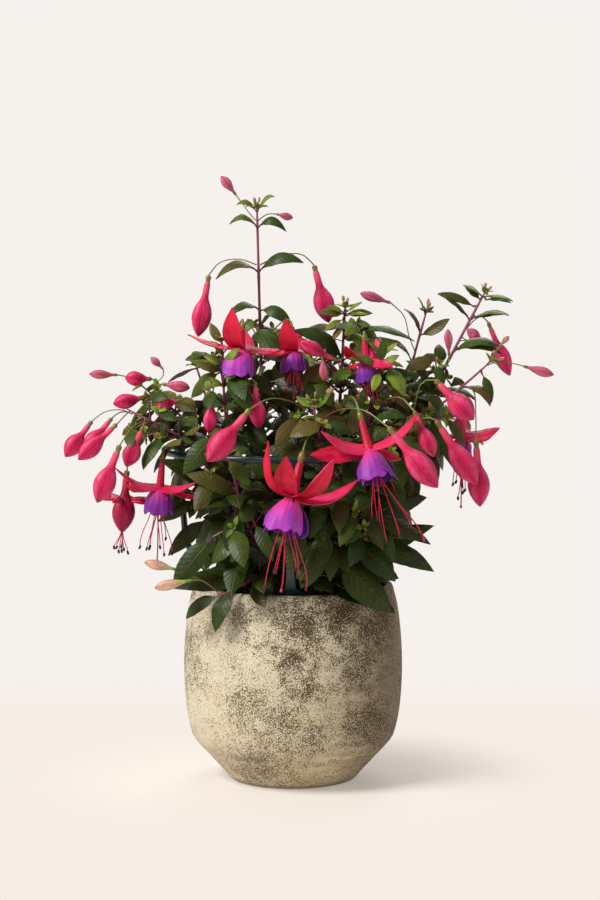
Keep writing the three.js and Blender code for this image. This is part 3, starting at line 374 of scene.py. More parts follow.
def petalFinish(name, pink, blue, vein, hemAndSideShade):
    # Petals open violet and turn pinker with age, which is the tint
    paint = Paint(name, 0.5, Specular_IOR_Level=0.3, Sheen_Weight=0.08)
    across, along = paint.along()
    streaks = paint.noise(120, 3, 0.6)
    fade = along + (streaks - 0.5) * 0.3
    old = paint.ramp(fade, *zip((0.0, 0.3, 0.75), pink))
    fresh = paint.ramp(fade, *zip((0.0, 0.22, 0.6), blue))
    base = paint.mix(paint.tint(), fresh, old)
    # Painted shade: each petal darkens towards its side edges, below the root, in the same dark violet as its
    # hem
    base = paint.mix((across - 0.5).size().between(0.2, 0.5) * along.between(0.1, 0.5) * 0.55, base, hemAndSideShade)
    # Veins fan out from the root and fade before the hem
    fan = (across * 34 + (streaks - 0.5) * 3).waves()
    veins = fan.between(0.3, 1.0) * along.between(0.75, 0.1, 0.0, 0.9)
    base = paint.mix(veins, base, vein)
    base = paint.mix(along.between(0.93, 1.0) * 0.3, base, hemAndSideShade)
    paint.feed("Base Color", base)
    paint.bump(fan * 0.4 + streaks, 0.0006, 0.35)
    return paint.material


def plainFinish(name, colour, shade, roughness):
    paint = Paint(name, roughness)
    grain = paint.noise(400, 2)
    paint.feed("Base Color", paint.mix(grain.between(0.3, 0.7), colour, shade))
    paint.bump(grain, 0.0002, 0.3)
    return paint.material


def makeFinishes():
    return {
        "glaze": glazeFinish(),
        "peat": soilFinish(),
        "hoop": plasticFinish("hoop plastic", "#1d3438", "#0f2124"),
        "leg": plasticFinish("leg plastic", "#101c1c", "#0a1414"),
        "frontLeg": plasticFinish("front leg plastic", "#1a362f", "#112622"),
        "bark": barkFinish(),
        "leafTop": leafFinish("leaf upper side", "#314b09", "#8aa030", "#526624", "#5a3a22", 0.3, 0.68),
        "leafUnder": leafFinish("leaf underside", "#6a5e3c", "#98a050", "#80704a", "#8a4444", 0.48, 0.3),
        "petiole": stalkFinish("petiole", "#6a2236", "#55602c"),
        "pedicel": stalkFinish("pedicel", "#7a3a34", "#7a8a3c"),
        "bud": budFinish("bud skin", "#d61e5a", "#b01044", "#e65474", "#f478a6"),
        "darkBud": budFinish("opening bud skin", "#a8103c", "#780a32", "#d23a58", "#c03060"),
        "paleBud": paleBudFinish("pale bud skin", "#d8b497", "#c48c80", "#a9b95a", "#b8615f"),
        "tinyBud": paleBudFinish("tiny bud skin", "#a8885c", "#b07a68", "#7f8c40", "#a05650"),
        "ovary": ovaryFinish(),
        "youngOvary": plainFinish("young ovary", "#7f9a38", "#5f7d2c", 0.4),
        "sepalOut": sepalFinish("sepal outside", "#d20c38", "#a00624", "#f23a72"),
        "sepalIn": sepalFinish("sepal inside", "#c4021c", "#8c0216", "#e82248"),
        "petal": petalFinish("petal", ("#e22c74", "#cc38a4", "#aa38b0"),
                             ("#c82c78", "#9c2e9c", "#6a2490"), "#e62a60", "#7028a0"),
        "petalIn": petalFinish("petal inside", ("#a83078", "#702090", "#501c84"),
                               ("#8a2878", "#4a1a78", "#381464"), "#982878", "#381464"),
        "filament": plainFinish("filament", "#d81b50", "#b81242", 0.35),
        "anther": plainFinish("anther", "#34091c", "#5a1430", 0.8),
        "stigma": plainFinish("stigma", "#d43a6a", "#b01f50", 0.4),
    }


# Forms that are shaped once, and then copied
def selectOnly(*objects):
    bpy.ops.object.select_all(action="DESELECT")
    for item in objects:
        item.select_set(True)
    if objects:
        bpy.context.view_layer.objects.active = objects[0]


def applyPlace():
    bpy.ops.object.transform_apply(location=True, rotation=True, scale=True)


def smooth(item, degrees):
    selectOnly(item)
    bpy.ops.object.shade_smooth_by_angle(angle=math.radians(degrees))


def selectWhere(test):  # in edit mode, the vertices whose place passes a test
    shape = bmesh.from_edit_mesh(bpy.context.object.data)
    for vert in shape.verts:
        vert.select_set(test(vert.co))
    shape.select_flush_mode()
    bmesh.update_edit_mesh(bpy.context.object.data)


def turnedForm(outline, sides):  # a form turned round Z, from radius and height, with its ends closed
    selectOnly()
    radius, height = outline[0]
    bpy.ops.mesh.primitive_circle_add(vertices=sides, radius=radius, fill_type="NGON",
                                      location=(0, 0, height))
    bpy.ops.object.mode_set(mode="EDIT")
    for nextRadius, nextHeight in outline[1:]:
        bpy.ops.mesh.extrude_region_move(TRANSFORM_OT_translate={"value": (0, 0, nextHeight - height)})
        share = nextRadius / radius
        bpy.ops.transform.resize(value=(share, share, 1), center_override=(0, 0, nextHeight))
        radius, height = max(nextRadius, 1e-5), nextHeight
    closeForm()
    return bpy.context.object


def closeForm():
    bpy.ops.mesh.select_all(action="SELECT")
    bpy.ops.mesh.remove_doubles(threshold=2e-5)
    bpy.ops.mesh.normals_make_consistent(inside=False)
    bpy.ops.object.mode_set(mode="OBJECT")
    applyPlace()


def sheetForm(columns, rows, outline, tooth):
    # A flat blade with a thickness of 1: across from -1 to 1, along from 0 to 1
    selectOnly()
    bpy.ops.mesh.primitive_grid_add(x_subdivisions=columns, y_subdivisions=rows, size=2)
    bpy.ops.object.mode_set(mode="EDIT")
    bpy.ops.transform.translate(value=(0, 1, 0))
    bpy.ops.transform.resize(value=(1, 0.5, 1), center_override=(0, 0, 0))
    for row in range(rows + 1):
        level = row / rows
        reach = np.interp(level, *zip(*outline))
        if 0 < row < rows:
            reach += tooth * (1 if row % 2 else -1) * reach
        selectWhere(lambda place: abs(place.y - level) < 0.2 / rows)
        bpy.ops.transform.resize(value=(max(reach, 1e-5), 1, 1), center_override=(0, level, 0))
    bpy.ops.mesh.select_all(action="SELECT")
    bpy.ops.mesh.remove_doubles(threshold=1e-4)
    bpy.ops.mesh.extrude_region_move(TRANSFORM_OT_translate={"value": (0, 0, -1)})
    closeForm()
    return bpy.context.object


class Form:  # a shaped form's corners and faces, to be bent and copied
    def __init__(self, item, slotOf, mapOf):
        mesh = item.data
        self.points = np.array([vert.co for vert in mesh.vertices])
        self.faces = [tuple(face.vertices) for face in mesh.polygons]
        self.slots = [slotOf(face) for face in mesh.polygons]
        self.map = np.array([mapOf(vert.co) for vert in mesh.vertices])
        bpy.data.objects.remove(item)


def bladeForm(columns, rows, outline, tooth=0.0):
    item = sheetForm(columns, rows, outline, tooth)
    return Form(item, lambda face: 1 if face.normal.z < -0.5 else 0,
                lambda place: (0.5 + place.x / 2, place.y))


def plainForm(item):  # one finish all over, mapped from above
    return Form(item, lambda face: 0, lambda place: (place.x, place.y))


def roundForm(outline, sides, slotOf=lambda face: 0):
    def mapOf(place):
        return abs(math.sin(2 * math.atan2(place.y, place.x))), place.z
    return Form(turnedForm(outline, sides), slotOf, mapOf)


leafOutline = [(0.0, 0.03), (0.12, 0.05), (0.18, 0.36), (0.26, 0.74), (0.36, 0.95), (0.48, 1.0), (0.6, 0.97),
               (0.72, 0.84), (0.82, 0.62), (0.91, 0.34), (0.97, 0.12), (1.0, 0.0)]
sepalOutline = [(0.0, 0.6), (0.12, 0.76), (0.26, 0.92), (0.38, 0.99), (0.5, 1.0), (0.62, 0.88), (0.75, 0.62),
                (0.87, 0.32), (0.95, 0.12), (1.0, 0.0)]
petalOutline = [(0.0, 0.34), (0.15, 0.6), (0.35, 0.9), (0.6, 1.0), (0.85, 0.98), (1.0, 0.86)]
largeBud = [(0.05, 0.0), (0.12, 0.005), (0.22, 0.02), (0.25, 0.05), (0.22, 0.085), (0.2, 0.105),
            (0.25, 0.125), (0.29, 0.17), (0.3, 0.26), (0.32, 0.34), (0.4, 0.39), (0.62, 0.455),
            (0.84, 0.53), (0.96, 0.61), (1.0, 0.67), (0.95, 0.745), (0.79, 0.825), (0.54, 0.9),
            (0.27, 0.96), (0.0, 1.0)]
smallBud = [(0.06, 0.0), (0.2, 0.02), (0.3, 0.07), (0.28, 0.13), (0.27, 0.18), (0.36, 0.25), (0.6, 0.36),
            (0.85, 0.48), (1.0, 0.62), (0.93, 0.74), (0.66, 0.87), (0.28, 0.96), (0.0, 1.0)]


def budForm(outline, sides, ovaryShare):
    form = roundForm(outline, sides, lambda face: 1 if face.center.z < ovaryShare else 0)
    # Four sepals stand out a little between their seams
    turn = np.arctan2(form.points[:, 1], form.points[:, 0])
    body = np.clip((form.points[:, 2] - 0.36) / 0.12, 0, 1)
    seams = 0.08 * body * np.exp(-((np.abs(np.sin(2 * turn)) / 0.35) ** 2))
    groove = 1 - seams - 0.05 * body * np.cos(4 * turn)
    form.points[:, :2] *= groove[:, None]
    return form


def makeForms():
    return {
        "broadLeaf": bladeForm(6, 18, leafOutline, 0.012),
        "leaf": bladeForm(4, 10, leafOutline, 0.01),
        "sepal": bladeForm(6, 14, sepalOutline),
        "petal": bladeForm(16, 10, petalOutline),
        "largeBud": budForm(largeBud, 16, 0.115),
        "smallBud": budForm(smallBud, 12, 0.16),
        "tinyBud": budForm(smallBud, 6, 0.16),
        "anther": roundForm([(0.3, 0.0), (0.9, 0.12), (1.0, 0.5), (0.8, 0.85), (0.0, 1.0)], 6),
    }


# One piece gathers bent copies of forms
class Skin:
    def __init__(self):
        self.points = []
        self.faces = []
        self.slots = []
        self.maps = []
        self.tints = []
        self.count = 0

    def add(self, points, faces, slots, places, tint):
        self.faces += [tuple(corner + self.count for corner in face) for face in faces]
        self.points.append(np.asarray(points, float))
        self.slots += slots
        self.maps.append(np.asarray(places, float))
        self.tints.append(np.full(len(points), tint))
        self.count += len(points)

    def copy(self, form, points, slotShift=0, tint=0.0):
        self.add(points, form.faces, [slot + slotShift for slot in form.slots], form.map, tint)

    def build(self, name, finishNames, angle=40):
        mesh = bpy.data.meshes.new(name)
        mesh.from_pydata(np.concatenate(self.points).tolist(), [], self.faces)
        mesh.polygons.foreach_set("material_index", self.slots)
        corners = np.empty(len(mesh.loops), np.int32)
        mesh.loops.foreach_get("vertex_index", corners)
        mesh.uv_layers.new(name="own").data.foreach_set("uv", np.concatenate(self.maps)[corners].ravel())
        mesh.attributes.new("tint", "FLOAT", "POINT").data.foreach_set("value", np.concatenate(self.tints))
        for finishName in finishNames:
            mesh.materials.append(finishes[finishName])
        mesh.validate()
        piece = bpy.data.objects.new("grown_" + name, mesh)
        bpy.context.scene.collection.objects.link(piece)
        smooth(piece, angle)
        return piece


def settle(piece, slot, *replaced):
    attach(piece, "root")
    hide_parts(*replaced)


def unit(vectors):
    return vectors / np.maximum(np.linalg.norm(vectors, axis=-1, keepdims=True), 1e-12)


def bezier(controls, shares):  # places and directions on a curve of two or three bends
    degree = len(controls) - 1
    controls = np.asarray(controls, float)
    place = sum(math.comb(degree, k) * np.outer(shares ** k * (1 - shares) ** (degree - k), controls[k])
                for k in range(degree + 1))
    steps = np.diff(controls, axis=0) * degree
    slope = sum(math.comb(degree - 1, k) * np.outer(shares ** k * (1 - shares) ** (degree - 1 - k), steps[k])
                for k in range(degree))
    return place, unit(slope)


def bentBlade(form, controls, side, half, thickness, fold=0.0, wave=0.0, ripples=3.0, phase=0.0, curl=0.0):
    across, along, depth = form.points.T
    centre, ahead = bezier(controls, along)
    over = unit(np.cross(np.asarray(side, float), ahead))
    beside = np.cross(ahead, over)
    edge = np.abs(across)
    ripple = np.sin(2 * math.pi * ripples * along + phase + np.where(across > 0, 1.7, 0.0))
    lift = depth * thickness - fold * half * edge ** 1.5 + wave * half * edge ** 2 * ripple
    lift -= curl * half * np.clip(along - 0.4, 0, 1) ** 2
    return centre + beside * (across * half)[:, None] + over * lift[:, None]


def crossDirections(axis):
    helper = Vector((0, 1, 0)) if abs(axis.z) > 0.9 else up
    across = helper.cross(axis).normalized()
    return across, axis.cross(across)


def sideways(axis, turn):  # a direction square to an axis, turned round it
    across, over = crossDirections(axis)
    return across * math.cos(turn) + over * math.sin(turn)


def sweep(skin, centres, radii, sides, slot, tint=0.0, firstShare=0.0, lastShare=1.0):
    # A round stalk along its centres, whose rings turn with it without twisting
    centres = [Vector(centre) for centre in centres]
    last = len(centres) - 1
    across = None
    points, places, faces = [], [], []
    for i, (centre, radius) in enumerate(zip(centres, radii)):
        ahead = (centres[min(i + 1, last)] - centres[max(i - 1, 0)]).normalized()
        if across is None:
            across = crossDirections(ahead)[0]
        across = (across - ahead * across.dot(ahead)).normalized()
        over = ahead.cross(across)
        share = firstShare + (lastShare - firstShare) * i / last
        for j in range(sides):
            turn = 2 * math.pi * j / sides
            points.append(centre + (across * math.cos(turn) + over * math.sin(turn)) * radius)
            places.append((abs(math.sin(turn)), share))
        for j in range(sides if i else 0):
            low, high, after = (i - 1) * sides, i * sides, (j + 1) % sides
            faces.append((low + j, low + after, high + after, high + j))
    faces.append(tuple(reversed(range(sides))))
    faces.append(tuple(last * sides + j for j in range(sides)))
    skin.add(points, faces, [slot] * len(faces), places, tint)


# Reading the frame: every pointed end of a node, and the rings of corners behind it
def pointedEnds(name, sides):
    shape = bmesh.new()
    shape.from_mesh(cadNodes[name].data)
    bmesh.ops.remove_doubles(shape, verts=shape.verts, dist=0.002 * mm)
    shape.verts.index_update()
    ends = []
    for vert in shape.verts:
        ring = {edge.other_vert(vert) for edge in vert.link_edges}
        if len(ring) != sides:
            continue
        rings, seen = [], {vert}
        while len(ring) == sides:
            # A set has no order of its own, so the corners are sorted to give the same result each run
            rings.append([corner.co.copy() for corner in sorted(ring, key=lambda corner: corner.index)])
            seen |= ring
            ring = {edge.other_vert(corner) for corner in ring for edge in corner.link_edges} - seen
        rest = [corner.co.copy() for corner in sorted(ring, key=lambda corner: corner.index)]
        ends.append((vert.co.copy(), rings, rest))
    shape.free()
    return ends


def middleOf(points):
    return sum(points, Vector()) / len(points)


def bladeRing(ring):
    # The middle between a blade's two edges, half its width, its side and the way to its ridge
    pairs = [((a - b).length, a, b, c) for a, b, c in (ring, ring[1:] + ring[:1], ring[2:] + ring[:2])]
    width, left, right, ridge = max(pairs, key=lambda pair: pair[0])
    middle = (left + right) / 2
    return middle, width / 2, (right - left).normalized(), ridge - middle


# Shares of a leaf's length where its solid's sections lie, from the tip down, and how deep they fold
leafStations = (0.8, 0.55, 0.33)
leafFold = 0.09


def readLeaf(tip, rings):
    # A leaf's curve, from the sections that its solid has at known shares of its length
    if len(rings) < 2:
        return None
    sections = [bladeRing(ring) for ring in rings[:3]]
    half = sections[1][1]
    if not (1.5 * mm < half < 20 * mm and 0.5 < sections[0][1] / half < 0.75):
        return None
    left, right = [], []
    for share, (middle, width, side, ridge) in zip(leafStations, sections):
        centre = middle + ridge.normalized() * leafFold * width
        left.append(((1 - share) ** 2, 2 * share * (1 - share)))
        right.append(np.array(centre) - share ** 2 * np.array(tip))
    start, bend = np.linalg.lstsq(np.array(left), np.array(right), rcond=None)[0]
    middle, width, side, ridge = sections[1]
    chord = Vector(np.array(tip) - start)
    if side.cross(chord).dot(ridge) < 0:  # the side turns so that the ridge is on top
        side = -side
    return {"controls": [start, bend, np.array(tip)], "half": half, "side": np.array(side)}


# Stems: where the root is in the soil, to the right and back; the bends and the tip, as places in the picture
# and how near they are; and the radius at the root, all in millimetres
stemRows = {
    "stem_leader": ((-16, 8), [(266, 500, 0), (261, 360, 4)], (257, 209, 6), 1.9),
    "stem_centre": ((10, -2), [(318, 520, 14), (337, 430, 24)], (345, 308, 26), 2.1),
    "stem_right_inner": ((26, 16), [(335, 520, -12), (388, 440, -30)], (426, 313, -26), 1.9),
    "stem_right_outer": ((36, 0), [(352, 520, 16), (410, 430, 30)], (484, 294, 16), 2.1),
    "stem_right_low": ((34, -22), [(350, 545, 46), (396, 450, 56)], (490, 362, 52), 1.8),
    "stem_left_outer": ((-36, -10), [(244, 530, 36), (196, 450, 48)], (127, 409, 44), 1.9),
    "stem_left_upper": ((-36, 14), [(250, 520, -6), (206, 440, 0)], (142, 386, 8), 1.8),
    "stem_front_centre": ((4, -30), [(322, 545, 66), (324, 470, 90)], (313, 404, 84), 1.9),
    "stem_front_right": ((24, -40), [(338, 570, 62), (350, 530, 88)], (360, 484, 88), 1.8),
    "stem_front_left": ((-20, -38), [(264, 560, 62), (246, 520, 84)], (228, 456, 84), 1.8),
    "stem_mid_left": ((-22, -16), [(256, 510, 26), (228, 430, 48)], (222, 342, 50), 1.8),
    "stem_mid_right": ((20, -20), [(330, 520, 36), (362, 450, 52)], (382, 352, 50), 1.8),
    "stem_back_left": ((-20, 34), [(262, 500, -46), (222, 440, -84)], (196, 366, -84), 1.9),
    "stem_back_centre": ((4, 38), [(292, 500, -58), (298, 430, -104)], (304, 344, -104), 1.9),
    "stem_back_right": ((28, 36), [(332, 500, -50), (372, 450, -90)], (392, 372, -92), 1.9),
    "stem_trailing": ((-38, -38), [(254, 580, 62), (240, 586, 76)], (219, 596, 82), 1.5),
}
stemPlans = {name: dict(zip(("root", "bends", "tip", "radius"), row)) for name, row in stemRows.items()}
stemShape = {"rootHeight": 128, "collar": 160, "thinning": 0.5, "steps": 32, "sides": 10, "nodeSwell": 0.35,
             "nodeReach": 0.012, "end": 0.6}
bareTips = ("stem_trailing", "stem_left_outer")  # the stems that end without a crown


def smoothLine(points, steps):  # evenly spaced points of a smooth curve through the given ones
    ends = [2 * points[0] - points[1]] + points + [2 * points[-1] - points[-2]]
    dense = []
    fine = 24
    for i in range(len(points) - 1):
        before, start, end, after = ends[i:i + 4]
        for k in range(fine):
            t = k / fine
            slopeIn, slopeOut = (end - before) / 2, (after - start) / 2
            dense.append(start * (2 * t ** 3 - 3 * t ** 2 + 1) + slopeIn * (t ** 3 - 2 * t ** 2 + t)
                         + end * (3 * t ** 2 - 2 * t ** 3) + slopeOut * (t ** 3 - t ** 2))
    dense.append(points[-1])
    lengths = np.cumsum([0.0] + [(b - a).length for a, b in zip(dense, dense[1:])])
    line = []
    for share in np.linspace(0, 1, steps + 1):
        i = min(int(np.searchsorted(lengths, share * lengths[-1])), len(dense) - 1)
        i = max(i, 1)
        part = (share * lengths[-1] - lengths[i - 1]) / (lengths[i] - lengths[i - 1])
        line.append(dense[i - 1].lerp(dense[i], min(max(part, 0), 1)))
    return line


def stemLine(plan):
    x, y = plan["root"]
    foot = [Vector((x, y, stemShape["rootHeight"])) * mm, Vector((x, y, stemShape["collar"])) * mm]
    bends = [spot(*place) for place in plan["bends"] + [plan["tip"]]]
    return smoothLine(foot + bends, stemShape["steps"])


def nearestOn(line, point):  # how far the nearest place on a line is, the place, and its share of the line
    best = None
    for i, (a, b) in enumerate(zip(line, line[1:])):
        part = min(max((point - a).dot(b - a) / (b - a).length_squared, 0), 1)
        place = a.lerp(b, part)
        gap = (place - point).length
        if best is None or gap < best[0]:
            best = (gap, place, (i + part) / (len(line) - 1))
    return best


def bladeSamples(controls, side, half):  # a few points over a blade, to test what it comes near
    shares = np.array([0.18, 0.34, 0.5, 0.66, 0.82, 0.97])
    centre, ahead = bezier(controls, shares)
    beside = np.cross(ahead, unit(np.cross(np.asarray(side, float), ahead)))
    widths = np.interp(shares, *zip(*leafOutline)) * half
    return np.concatenate([centre + beside * (widths * k)[:, None] for k in (-0.9, 0, 0.9)])


# Leaves
leafLook = {"thickness": 0.75, "wave": 0.06, "small": 6.5, "broad": 7.5, "petiole": 0.75, "curl": 1.5,
            "turn": 0.25, "outwards": 0.6, "forwards": 0.45, "heart": 35, "level": 0.6, "levelFrom": 0.5,
            "levelOver": 0.3, "shades": 0.7, "lift": {"stem_leader": 10}, "slim": {"stem_leader": 0.75}}


def growLeaf(skin, leaf, line, age):
    # A petiole from the stem and a blade that waves; slot 0 is its upper side, 1 its underside, 2 its stalk
    controls = [np.array(point) for point in leaf["controls"]]
    place = nearestOn(line, Vector(controls[0]))[1]
    controls[0] = np.array(place)
    half = leaf["half"]
    form = forms["broadLeaf"] if half > leafLook["broad"] * mm else forms["leaf"]
    thickness = leafLook["thickness"] * mm * min(1, half / (6 * mm) + 0.35)
    look = {"fold": 0.08 + 0.26 * dice.random(), "wave": leafLook["wave"] * (0.5 + dice.random()),
            "ripples": 2.2 + dice.random(), "phase": 6.28 * dice.random(),
            "curl": leafLook["curl"] * (0.3 + dice.random())}
    side = turned(leaf["side"], controls[2] - controls[0], leafLook["turn"] * (2 * dice.random() - 1))
    points = bentBlade(form, controls, side, half, thickness, **look)
    skin.copy(form, points, 0, age)
    stalk = bezier(controls, np.linspace(0, 0.2, 4))[0]
    radius = leafLook["petiole"] * mm * min(1, half / (9 * mm) + 0.3)
    sweep(skin, stalk, [radius * 1.15, radius, radius * 0.85, radius * 0.3], 5, 2, age, 0, 0.6)


def turned(side, chord, angle):
    return np.array(Matrix.Rotation(angle, 3, Vector(chord)) @ Vector(side))


def lightAt(place):  # where a leaf's upper face looks: up, outwards and a little to the front
    away = Vector((place.x, place.y - leafLook["heart"] * mm, 0)).normalized()
    return away * leafLook["outwards"] + up - Vector((0, leafLook["forwards"], 0))


def facingUp(leaf, share):  # a leaf's side, turned by a share towards the one that faces the light
    start, bend, tip = (Vector(point) for point in leaf["controls"])
    level = (tip - start).cross(lightAt(bend))
    if level.length < 0.3 * (tip - start).length:
        return leaf["side"]
    level.normalize()
    side = Vector(leaf["side"])
    return np.array(side.lerp(level if level.dot(side) > 0 else -level, share).normalized())


def towardsLight(leaf):  # a leaf's side, reversed where its upper face would look away from the light
    start, bend, tip = (Vector(point) for point in leaf["controls"])
    light = lightAt(bend)
    side = Vector(leaf["side"])
    return np.array(side if side.cross(tip - start).dot(light) > 0 else -side)


class Room:  # what is taken: the frame's solids and the points of leaves grown so far
    def __init__(self):
        points, faces = [], []
        for item in cadNodes.values():
            base = len(points)
            points += [vert.co.copy() for vert in item.data.vertices]
            faces += [[corner + base for corner in face.vertices] for face in item.data.polygons]
        self.solids = BVHTree.FromPolygons(points, faces)
        self.taken = set()
        self.cell = 2.8 * mm

    def cellOf(self, point):
        return tuple(int(math.floor(value / self.cell)) for value in point)

    def isFree(self, samples, gap):
        for point in samples:
            if self.cellOf(point) in self.taken:
                return False
            if self.solids.find_nearest(Vector(point), gap)[0] is not None:
                return False
        return True

    def take(self, samples):
        self.taken.update(self.cellOf(point) for point in samples)


def shootLeaf(base, heading, bearing, length, droop):  # a leaf's curve, from where it grows and how it leans
    out = sideways(heading, bearing)
    tip = base + out * length * math.cos(droop) + heading * length * 0.3 - up * length * math.sin(droop)
    light = lightAt(base)
    return arched(base, tip, light, length * 0.2, length * (0.2 + 0.05 * dice.random()))


def arched(base, tip, light, rise, half):  # a leaf that rises towards the light and falls to its tip
    chord = (tip - base).normalized()
    face = (light - chord * light.dot(chord)).normalized()
    bend = base.lerp(tip, 0.45) + face * rise
    return {"controls": [np.array(base), np.array(bend), np.array(tip)], "half": half,
            "side": np.array(chord.cross(face))}


# Side shoots fill the plant where its stems and leaves leave room. None hangs lower than the rim outside it
shoots = {"every": 0.055, "first": 0.14, "tries": 9, "stalk": (7, 22), "leafLow": 44, "leafHigh": 27,
          "gap": 0.8, "rimHeight": 176, "rimRadius": 74}
shootEnd = {"stem_leader": 0.72, "stem_trailing": 0.0, "stem_right_inner": 0.77, "stem_right_outer": 0.8,
            "stem_right_low": 0.8, "stem_back_left": 0.74, "stem_back_right": 0.82, "stem_mid_right": 0.92}


def growShoots(skin, line, room, end):
    last = len(line) - 1
    share = shoots["first"]
    while share < end:
        i = int(share * last)
        base = line[i].lerp(line[i + 1], share * last - i)
        heading = (line[i + 1] - line[i]).normalized()
        for attempt in range(shoots["tries"]):
            growShoot(skin, base, heading, share, room)
        share += shoots["every"]


def growShoot(skin, base, heading, share, room):
    bearing = 2 * math.pi * dice.random()
    shortest, longest = shoots["stalk"]
    length = (shortest + (longest - shortest) * dice.random()) * mm
    out = sideways(heading, bearing) + heading * 0.6 + up * 0.2
    tip = base + out.normalized() * length
    controls = [np.array(base), np.array(base.lerp(tip, 0.5) - up * length * 0.08), np.array(tip)]
    stalk, ahead = bezier(controls, np.linspace(0, 1, 5))
    if not room.isFree(stalk[2:], 1.0 * mm):
        return
    leaves = []
    size = (shoots["leafLow"] * (1 - share) + shoots["leafHigh"] * share) * mm
    first = 2 * math.pi * dice.random()
    for opposite in (0, math.pi):
        length = size * (0.75 + 0.5 * dice.random())
        leaf = shootLeaf(tip, Vector(ahead[-1]), first + opposite, length, 0.1 + 0.6 * dice.random())
        samples = bladeSamples(leaf["controls"], leaf["side"], leaf["half"])
        hangs = any(point[2] < shoots["rimHeight"] * mm
                    and math.hypot(point[0], point[1]) > shoots["rimRadius"] * mm for point in samples)
        if not hangs and room.isFree(samples[1:], shoots["gap"] * mm):
            leaves.append((leaf, samples))
    if len(leaves) < 2 and (not leaves or dice.random() < 0.5):
        return
    sweep(skin, stalk, np.linspace(1.0, 0.6, 5) * mm, 5, 4, 0.0, 0.5, 0.8)
    room.take(stalk[1:])
    joint = [Vector(stalk[-2]), Vector(stalk[-1])]
    for leaf, samples in leaves:
        room.take(samples)
        # The tint is partly the leaf's age and partly painted shade of the foliage's interior: it is darker
        # on shoots low on the stem
        growLeaf(skin, leaf, joint, 0.5 * share - 0.2 + 0.8 * (dice.random() - 0.65))
    if share > 0.5 and dice.random() < 0.6:
        growCrown(skin, tip, Vector(ahead[-1]), 0.8, 1 if dice.random() < 0.4 else 0)


# The growing point of a stem: small upright leaves round a few slender buds
crownShape = {"leaf": 14, "half": 3.4, "bud": 8, "girth": 2.8}


def growCrown(skin, base, heading, scale, buds):
    turn = 2 * math.pi * dice.random()
    joint = [base - heading * mm, base]
    for pair in range(2):
        for opposite in (0, math.pi):
            bearing = turn + opposite + pair * math.pi / 2
            out = sideways(heading, bearing)
            size = crownShape["leaf"] * scale * (1 - 0.35 * pair) * (0.8 + 0.4 * dice.random()) * mm
            tip = base + out * size * (0.85 - 0.3 * pair) + heading * size * (0.35 + 0.4 * pair)
            leaf = arched(base, tip, heading, size * 0.22, crownShape["half"] * scale * (1 - 0.3 * pair) * mm)
            growLeaf(skin, leaf, joint, 0.85 + 0.15 * dice.random())
    for bud in range(buds):
        bearing = turn + 0.8 + math.pi * bud
        out = sideways(heading, bearing) * 0.5 + heading
        size = crownShape["bud"] * scale * (0.8 + 0.4 * dice.random()) * mm
        foot = base + out.normalized() * size * 0.5
        sweep(skin, [base, foot], [0.4 * mm, 0.5 * mm], 5, 8)
        growTinyBud(skin, foot, foot + out.normalized() * size, crownShape["girth"] * scale * mm)


def growTinyBud(skin, start, end, girth):
    skin.copy(forms["tinyBud"], placeForm(forms["tinyBud"], start, end, girth), 7, 0.6)


